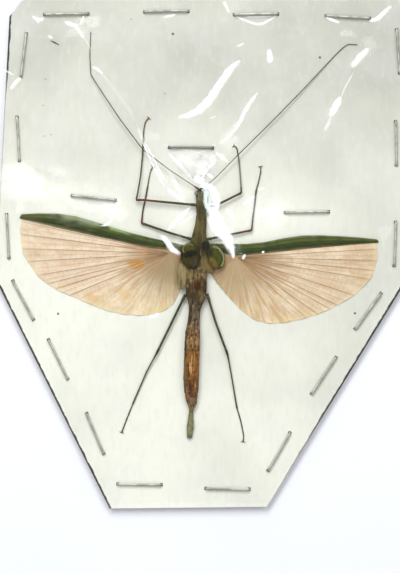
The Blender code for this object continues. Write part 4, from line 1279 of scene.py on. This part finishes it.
def paint_skin(shader, place):
    """The trunk: olive plates, then mottled brown, an orange streaked belly and a grey-green tail."""
    x, y, _ = place.parts()
    first, last = SKIN_ALONG[0][0], SKIN_ALONG[-1][0]
    waver = place.cloud(1.1, 2.0) * 0.9 - 0.45
    stops = [((at - first) / (last - first), colour) for at, colour in SKIN_ALONG]
    colour = ((y + waver - first) / (last - first)).ramp(*stops)

    streaks = place.stretched(1.7, 0.24, 0.9).cloud(1.25, 3.0, 0.6)
    fine = place.stretched(3.6, 0.45, 2.0).cloud(1.6, 3.0, 0.6)
    mottle = place.stretched(1.2, 0.9, 0.8).cloud(1.7, 4.0, 0.6)
    pale_streaks = streaks.rise(0.53, 0.64)
    rear = 1 - y.rise(0.4, 1.8)
    belly = 1 - y.rise(-13.6, -12.2)
    tail = 1 - y.rise(-28.6, -27.8)
    body = belly * (1 - tail)
    colour = coats(
        colour,
        (streaks.rise(0.52, 0.38), 0.55 + rear * 0.2 - tail * 0.35, DARK_BROWN),
        (mottle.rise(0.49, 0.38), 0.3 + rear * 0.45 - tail * 0.35, DARK_BROWN),
        (fine.rise(0.48, 0.36) * body, 0.55, (0.075, 0.032, 0.01)),
        (fine.rise(0.54, 0.68) * streaks.rise(0.44, 0.58) * body, 0.8, (0.56, 0.29, 0.09)),
        (pale_streaks * (1 - rear), 0.55, (0.175, 0.15, 0.046)),
        (fine.rise(0.5, 0.36) * (1 - belly), 0.35, DARK_BROWN),
        (pale_streaks * mottle.rise(0.42, 0.55) * rear * (1 - belly), 0.55, (0.25, 0.19, 0.09)),
    )

    off = (x - BACK_AT_TAIL[0]) - (y - BACK_AT_TAIL[1]) * BACK_SLOPE
    lit = (1 - ((y + 20.6) / 1.9) ** 2).most(0)
    lines = (1 - ((off + 0.02) / 0.15) ** 2).most(0) * (lit * 1.6).least(1)
    pale = near(x, y, (-2.5, -21.1), (0.32, 0.95), 0.9) * streaks.rise(0.4, 0.55)
    side_tone = y.rise(-18.4, -20.0).mix(DARK_BROWN, (0.15, 0.112, 0.046))
    side_tone = y.rise(-23.4, -25.2).mix(side_tone, (0.066, 0.055, 0.024))
    flecks = place.stretched(1.0, 0.7, 0.6).cells(1.15).rise(0.3, 0.14) * mottle.rise(0.46, 0.6)
    flaky = place.stretched(1.5, 1.1, 1.0).cloud(1.9, 3.0, 0.6).rise(0.56, 0.66)
    pinkish = place.stretched(1.6, 1.0, 1.0).cloud(2.4, 2.0).rise(0.52, 0.64)
    colour = coats(
        colour,
        (lines, 0.5, (0.72, 0.44, 0.19)),
        (pale, 0.6, (0.7, 0.44, 0.18)),
        ((off + 0.55).rise(-0.15, -0.6) * body, 0.75, side_tone),
        (flecks * (1 - y.rise(1.0, 1.8)) * y.rise(-17.5, -13.5), 0.45, (0.42, 0.34, 0.28)),
        (flaky * (1 - y.rise(-12.6, -8.6)) * y.rise(-19.0, -17.0), 0.6, (0.46, 0.34, 0.23)),
        (pinkish * (1 - y.rise(-25.6, -24.4)) * (1 - tail), 0.65, (0.4, 0.23, 0.15)),
    )

    colour = spotted(colour, x, y, SKIN_SPOTS)
    chalky = near(x, y, (-1.0, -1.5), (0.8, 1.7), 0.8) * fine.rise(0.5, 0.62)
    lobe = (1 - x.rise(-3.3, -2.95)) * y.rise(-7.6, -6.6) * (1 - y.rise(-2.6, -1.4))
    lobe_tone = streaks.rise(0.35, 0.6).mix((0.15, 0.112, 0.045), (0.33, 0.255, 0.125))
    colour = coats(
        colour,
        (chalky, 0.6, (0.26, 0.22, 0.16)),
        (near(x, y, (0.75, -2.2), (1.2, 1.5), 0.8), 0.55 + mottle * 0.5, (0.215, 0.15, 0.048)),
        (lobe, 0.85, lobe_tone),
    )
    for end in BELLY_ENDS:
        ring = 1 - (((y + streaks * 0.3 - 0.15 - end) / 0.16) ** 2).rise(0.2, 1.8)
        colour = coats(colour, (ring, 0.28, DARK_BROWN))
    # Painted shade: the skin darkens where it faces sideways or down.
    colour = coats(colour, (place.normal_up().rise(0.45, -0.1), 0.6, PAINTED_SIDE_SHADE))
    height = streaks * 1.2 + mottle * 0.8 + fine * 0.5 + place.cells(2.6).rise(0.0, 0.5) * 0.3
    connect(shader, colour, 0.45 + mottle * 0.35, height, 0.14)


def paint_limbs(shader, place):
    """Legs and feelers: dark olive, with rusty knees and feet on the front pairs."""
    x, y, _ = place.parts()
    brown, fleck = place.cloud(0.3, 2.0), place.cloud(2.6, 3.0)
    feelers = near(x, y, (-0.8, 14.0), (9.2, 5.0), 0.2)
    shins = (1 - y.rise(-19.5, -18.5)).most(y.rise(9.5, 11.0) * (1 - feelers))
    hind = brown.rise(0.42, 0.58).mix((0.036, 0.042, 0.018), (0.074, 0.078, 0.034))
    colour = coats(
        brown.rise(0.4, 0.6).mix((0.04, 0.042, 0.018), (0.066, 0.052, 0.026)),
        (1 - y.rise(-9.0, -8.0), 0.7, hind),
        (shins, 0.5, (0.115, 0.092, 0.046)),
        (blots(x, y, 0.9, RUSTY_KNEES), 0.7, (0.15, 0.05, 0.024)),
        (blots(x, y, 0.9, TAN_TOES), 0.6, (0.21, 0.125, 0.045)),
        (blots(x, y, 0.7, DARK_JOINTS), 0.85, (0.022, 0.024, 0.018)),
        (y.rise(11.5, 12.1) * feelers, 0.85, (0.25, 0.235, 0.195)),
        (fleck.rise(0.54, 0.72), 0.45, (0.13, 0.11, 0.06)),
        (fleck.rise(0.44, 0.32), 0.5, (0.014, 0.012, 0.006)),
    )
    connect(shader, colour, 0.42 + fleck * 0.3, fleck, 0.03)


def paint_horn(shader, place):
    grain = place.cloud(4.0, 2.0)
    connect(shader, grain.mix((0.02, 0.012, 0.007), (0.075, 0.038, 0.02)), 0.28 + grain * 0.2, grain, 0.01)


def paint_eye(shader, place):
    """A fine net of facets, dark blotches, and one eye duller than the other."""
    facets, shade = place.cells(13.0), place.cloud(2.2, 2.0)
    colour = coats(
        place.parts()[0].rise(-1.0, -0.5).mix((0.3, 0.3, 0.235), (0.2, 0.2, 0.15)),
        (shade.rise(0.48, 0.68), 0.5, (0.07, 0.065, 0.045)),
        (facets.rise(0.2, 0.55), 0.35, (0.02, 0.02, 0.015)),
    )
    connect(shader, colour, 0.22 + shade * 0.1, 1 - facets, 0.012)


def paint_tegmen(shader, place, side):
    """Wing cases: green with pale rims, fine veins and a painted shadow band on the left one."""
    u, w, _ = place.attribute("place", "Vector").parts()
    veins = (w * 26 + u * 4 + place.cloud(0.8, 2.0) * 3).sine()
    mottle = place.cloud(1.7, 3.0)
    folds = place.stretched(2.2, 0.9, 1.0).cloud(1.3, 3.0)
    blend = mottle.rise(0.35, 0.65)
    if side == "left":
        rim = (((u - 0.56) / 0.36) ** 2 + ((w - 0.02) / 0.6) ** 2).size()
        arc = (1 - ((rim - 1) / 0.38).size()).most(0) * (u + w * 0.5).rise(0.35, 0.7)
        blotch = mottle.rise(0.52, 0.62).mix((0.05, 0.036, 0.018), (0.2, 0.16, 0.11))
        colour = coats(
            blend.mix((0.018, 0.014, 0.001), (0.037, 0.029, 0.002)),
            (near(u, w, (-0.3, 0.62), (0.52, 0.42), 0.8), 0.85, (0.046, 0.042, 0.002)),
            (near(u, w, (0.6, -0.1), (0.38, 0.52), 0.7), 0.85, (0.064, 0.06, 0.006)),
            (arc, 0.9, (0.25, 0.215, 0.08)),
            (near(u, w, (-0.55, -0.3), (0.5, 0.5), 0.8), 0.75, blotch),
            # Painted shadow: a near-black band behind the shoulder.
            (near(u, w, (0.16, 0.0), (0.26, 0.8), 0.6), 0.95, (0.003, 0.003, 0.001)),
        )
    else:
        reach = (u ** 2 + w ** 2) ** 0.5
        arc = reach.rise(0.7, 0.8) * (1 - reach.rise(0.92, 0.98)) * w.rise(0.05, -0.4)
        colour = coats(
            blend.mix((0.03, 0.032, 0.004), (0.06, 0.06, 0.01)),
            (near(u, w, (0.05, -0.25), (0.62, 0.42), 0.8), 0.8, (0.062, 0.078, 0.008)),
            (arc, 0.9, (0.29, 0.265, 0.13)),
            (near(u, w, (-0.42, 0.62), (0.52, 0.52), 0.8), 0.9, (0.175, 0.121, 0.026)),
            (near(u, w, (0.62, 0.52), (0.42, 0.42), 0.8), 0.9, (0.017, 0.019, 0.008)),
        )
    colour = coats(
        colour,
        (veins.rise(0.55, 1.0), 0.15, (0.15, 0.14, 0.055)),
        (folds.rise(0.46, 0.36), 0.5, (0.014, 0.013, 0.006)),
    )
    connect(shader, colour, 0.4 + mottle * 0.3, veins * 0.3 + mottle + folds * 1.5, 0.08)


def paint_strip(shader, place, side):
    """The stiff front strip of a hind wing: green, with pale and dark lengthwise veins."""
    x, y, _ = place.parts()
    across = place.attribute("across")
    grain = place.stretched(0.35, 1.6, 1.0).cloud(1.4, 3.0)
    colour = coats(
        (across + grain * 0.16 - 0.08).ramp(*STRIP_ACROSS),
        (grain.rise(0.5, 0.72), 0.5, (0.1, 0.118, 0.034)),
        (place.cloud(0.5, 3.0).rise(0.54, 0.36), 0.55, (0.026, 0.042, 0.01)),
    )
    if side == "left":
        outer = x.rise(-26.6, -24.6) * (1 - x.rise(-19.4, -18.6))
        inner = x.rise(-17.4, -16.8) * (1 - x.rise(-15.0, -12.4))
        ragged = across + grain * 0.24 - 0.12
        colour = coats(
            colour,
            (outer * ragged.rise(0.66, 0.84), 0.7, (0.27, 0.32, 0.165)),
            (inner * ragged.rise(0.68, 0.86), 0.75, (0.33, 0.42, 0.17)),
            (1 - x.rise(-31.8, -28.6), 0.5, (0.12, 0.104, 0.022)),
        )
    else:
        colour = coats(colour, (near(x, y, (7.0, 0.2), (2.6, 1.2), 0.8), 0.4, (0.02, 0.04, 0.01)))
    ribs = (x * 3.1).sine().rise(0.8, 1.0)
    connect(shader, colour, 0.36 + grain * 0.3, grain + ribs * 0.3, 0.05)


def paint_membrane(shader, place, side):
    """The fan: a pink membrane, yellower below, with brown veins and a fine pale net."""
    x, y, _ = place.parts()
    vein, reach = place.attribute("vein"), place.attribute("reach")
    off_x, off_y = x - VEIN_HUB[side][0], y - VEIN_HUB[side][1]
    out = (off_x ** 2 + off_y ** 2) ** 0.5
    turn = off_y.calc("ARCTAN2", off_y, off_x.size())
    low = turn.rise(-0.35, -1.0)
    mottle, speckled = place.cloud(0.3, 4.0, 0.6), place.cloud(1.7, 2.0, 0.6)
    rays = (turn * 40 + mottle * 2).sine()
    radial = place.node("ShaderNodeCombineXYZ", {}, {0: turn * 9, 1: out * 0.12}).cloud(1.6, 3.0, 0.6)
    lane = (turn * 26).whole()
    rung = ((out / 0.82 + (lane * 12.9898).sine() * 0.5).fraction() - 0.5).size()
    net = (1 - rung.rise(0.03, 0.1)) * out.rise(7, 12) * (1 - low * 0.6)
    rusty = radial.rise(0.46, 0.6) * (1 - out.rise(3.0, 14.0)) * turn.rise(-1.3, -0.5)
    root = 1 - out.rise(3.0, 11.0)
    if side == "right":
        root = root * (0.72 + turn.rise(-1.0, -0.5) * 0.28)
    colour = coats(
        low.mix(*MEMBRANE[side]),
        (rays.rise(0.0, 1.0), 0.16, (0.6, 0.4, 0.24)),
        (mottle.rise(0.52, 0.7), 0.35, (0.64, 0.44, 0.28)),
        (mottle.rise(0.46, 0.34), 0.5, (0.9, 0.76, 0.56)),
        (net, 0.34, (0.94, 0.84, 0.69)),
        (speckled.rise(0.5, 0.64), 0.22, (0.52, 0.34, 0.2)),
        (radial.rise(0.5, 0.64), 0.38, (0.56, 0.35, 0.2)),
        (radial.rise(0.48, 0.36), 0.34, (0.94, 0.82, 0.66)),
        (reach.rise(0.93, 0.985), 0.6, (0.84, 0.7, 0.44)),
        (reach.rise(0.86, 0.96) * low * mottle.rise(0.42, 0.58), 0.6, (0.76, 0.58, 0.24)),
        (root, 0.78, (0.26, 0.168, 0.076)),
        (rusty, 0.7, (0.43, 0.2, 0.06)),
        (place.cloud(0.45, 4.0, 0.65).rise(0.5, 0.62) * (1 - low), 0.22, (0.68, 0.42, 0.3)),
    )
    if side == "left":
        pink = near(x, y, (-11.0, 0.2), (0.7, 1.3), 0.9) * speckled.rise(0.42, 0.55)
        ochre = near(x, y, (-17.5, -8.0), (4.0, 1.3), 0.9) * mottle.rise(0.42, 0.56)
        colour = coats(
            colour,
            (near(x, y, (-12.2, -2.2), (1.5, 0.9), 0.9), 0.45 + radial * 0.8, (0.52, 0.24, 0.03)),
            (pink, 0.5, (0.74, 0.36, 0.16)),
            (ochre, 0.55, (0.7, 0.44, 0.13)),
            (blots(x, y, 0.8, ROOT_FOLDS), 0.6, (0.26, 0.19, 0.09)),
        )
    else:
        seam = ((x - 1.7) * 0.83 + (y + 4.8) * 0.56) / 0.3
        inner = (1 - (seam ** 2).rise(0.3, 2.0)) * (1 - y.rise(-4.4, -3.4))
        scorched = radial.rise(0.46, 0.58) * low * (1 - out.rise(13, 21))
        colour = coats(
            colour,
            (inner, 0.6, (0.28, 0.15, 0.06)),
            (scorched, 0.45, (0.52, 0.31, 0.14)),
            (near(x, y, (30.0, -2.0), (3.6, 5.0), 0.9), 0.1 + mottle * 0.3, (0.52, 0.34, 0.16)),
        )
    line = (vein ** 0.8) * (1 - low * 0.45) * (1 - out.rise(16, 28) * 0.45)
    colour = coats(colour, (line, 0.85, (0.27, 0.15, 0.075)))
    connect(shader, colour, 0.4 + mottle * 0.25, net * 0.6 + mottle + rays * 0.1, 0.04)


def paint_table(shader, place):
    colour = place.cloud(0.02, 2.0).mix(TABLE_WHITE, TABLE_SHADE)
    connect(shader, colour, 0.55 + place.cloud(0.5, 2.0) * 0.1, place.cloud(3.0, 2.0), 0.02)


# Light, floor and camera.


def make_stage():
    """Table, soft lights and the camera straight above."""
    clear_choice()
    bpy.ops.mesh.primitive_plane_add(size=TABLE_WIDE, location=(0, 0, 0))
    table = bpy.context.object
    table.name = "table"
    table.data.materials.append(finish("table_white", paint_table, Roughness=0.6))

    target = Vector((CAMERA_AT[0] * MM, CAMERA_AT[1] * MM, 0))
    for name, turn, lean, size, power in SOFTBOXES:
        turn, lean = math.radians(turn), math.radians(lean)
        way = Vector((math.cos(turn) * math.sin(lean), math.sin(turn) * math.sin(lean), math.cos(lean)))
        bpy.ops.object.light_add(type="AREA", location=target + way * LIGHT_FAR)
        lamp = bpy.context.object
        lamp.name = name
        lamp.rotation_euler = way.to_track_quat("Z", "Y").to_euler()
        lamp.data.shape = "SQUARE"
        lamp.data.size = size
        lamp.data.energy = power

    sky = bpy.data.worlds.new("sky")
    sky.use_nodes = True
    backdrop = sky.node_tree.nodes["Background"]
    backdrop.inputs["Color"].default_value = (*SKY_COLOUR, 1)
    backdrop.inputs["Strength"].default_value = SKY_STRENGTH
    bpy.context.scene.world = sky
    bpy.context.scene.view_settings.view_transform = "Standard"

    card_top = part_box("card")[1].z
    bpy.ops.object.camera_add(location=(target.x, target.y, card_top + CAMERA_UP * MM), rotation=(0, 0, 0))
    camera = bpy.context.object
    camera.data.lens = LENS
    camera.data.clip_start = 0.01
    bpy.context.scene.camera = camera


def main():
    horn = finish("dark_horn", paint_horn, Specular_IOR_Level=0.5)
    paper = finish("card_paper", paint_card, Roughness=0.82, Specular_IOR_Level=0.25)
    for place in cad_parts["card"].material_slots:
        place.material = paper
    skin = finish("dried_skin", paint_skin, Specular_IOR_Level=0.1)
    limb_skin = finish("limb_skin", paint_limbs, Specular_IOR_Level=0.15)
    for leg, (tip, way) in zip(LEGS, make_skin(skin, limb_skin)):
        make_claws(leg, tip, way, horn)
    make_mouth(horn)
    glassy = finish("eye_glass", paint_eye, Coat_Roughness=0.12)
    for side in SIDES:
        make_eye(side, glassy)
        make_fan(side, finish(f"wing_membrane_{side}", paint_membrane, side, Specular_IOR_Level=0.3))
        make_strip(side, finish(f"wing_green_{side}", paint_strip, side, Specular_IOR_Level=0.15))
        make_tegmen(side, finish(f"tegmen_green_{side}", paint_tegmen, side, Specular_IOR_Level=0.1))
    make_wires(finish("staple_steel", paint_steel, Metallic=1.0))
    make_fragment(horn)
    tree = solid_tree("film")
    make_film(tree, finish("clear_film", paint_film))
    # Painted glints along the film's folds; they glow a little.
    make_glint_ribbons(tree, finish("painted_glint_film", paint_fold_glints, Roughness=0.3, Emission_Strength=0.12))
    make_stage()


main()
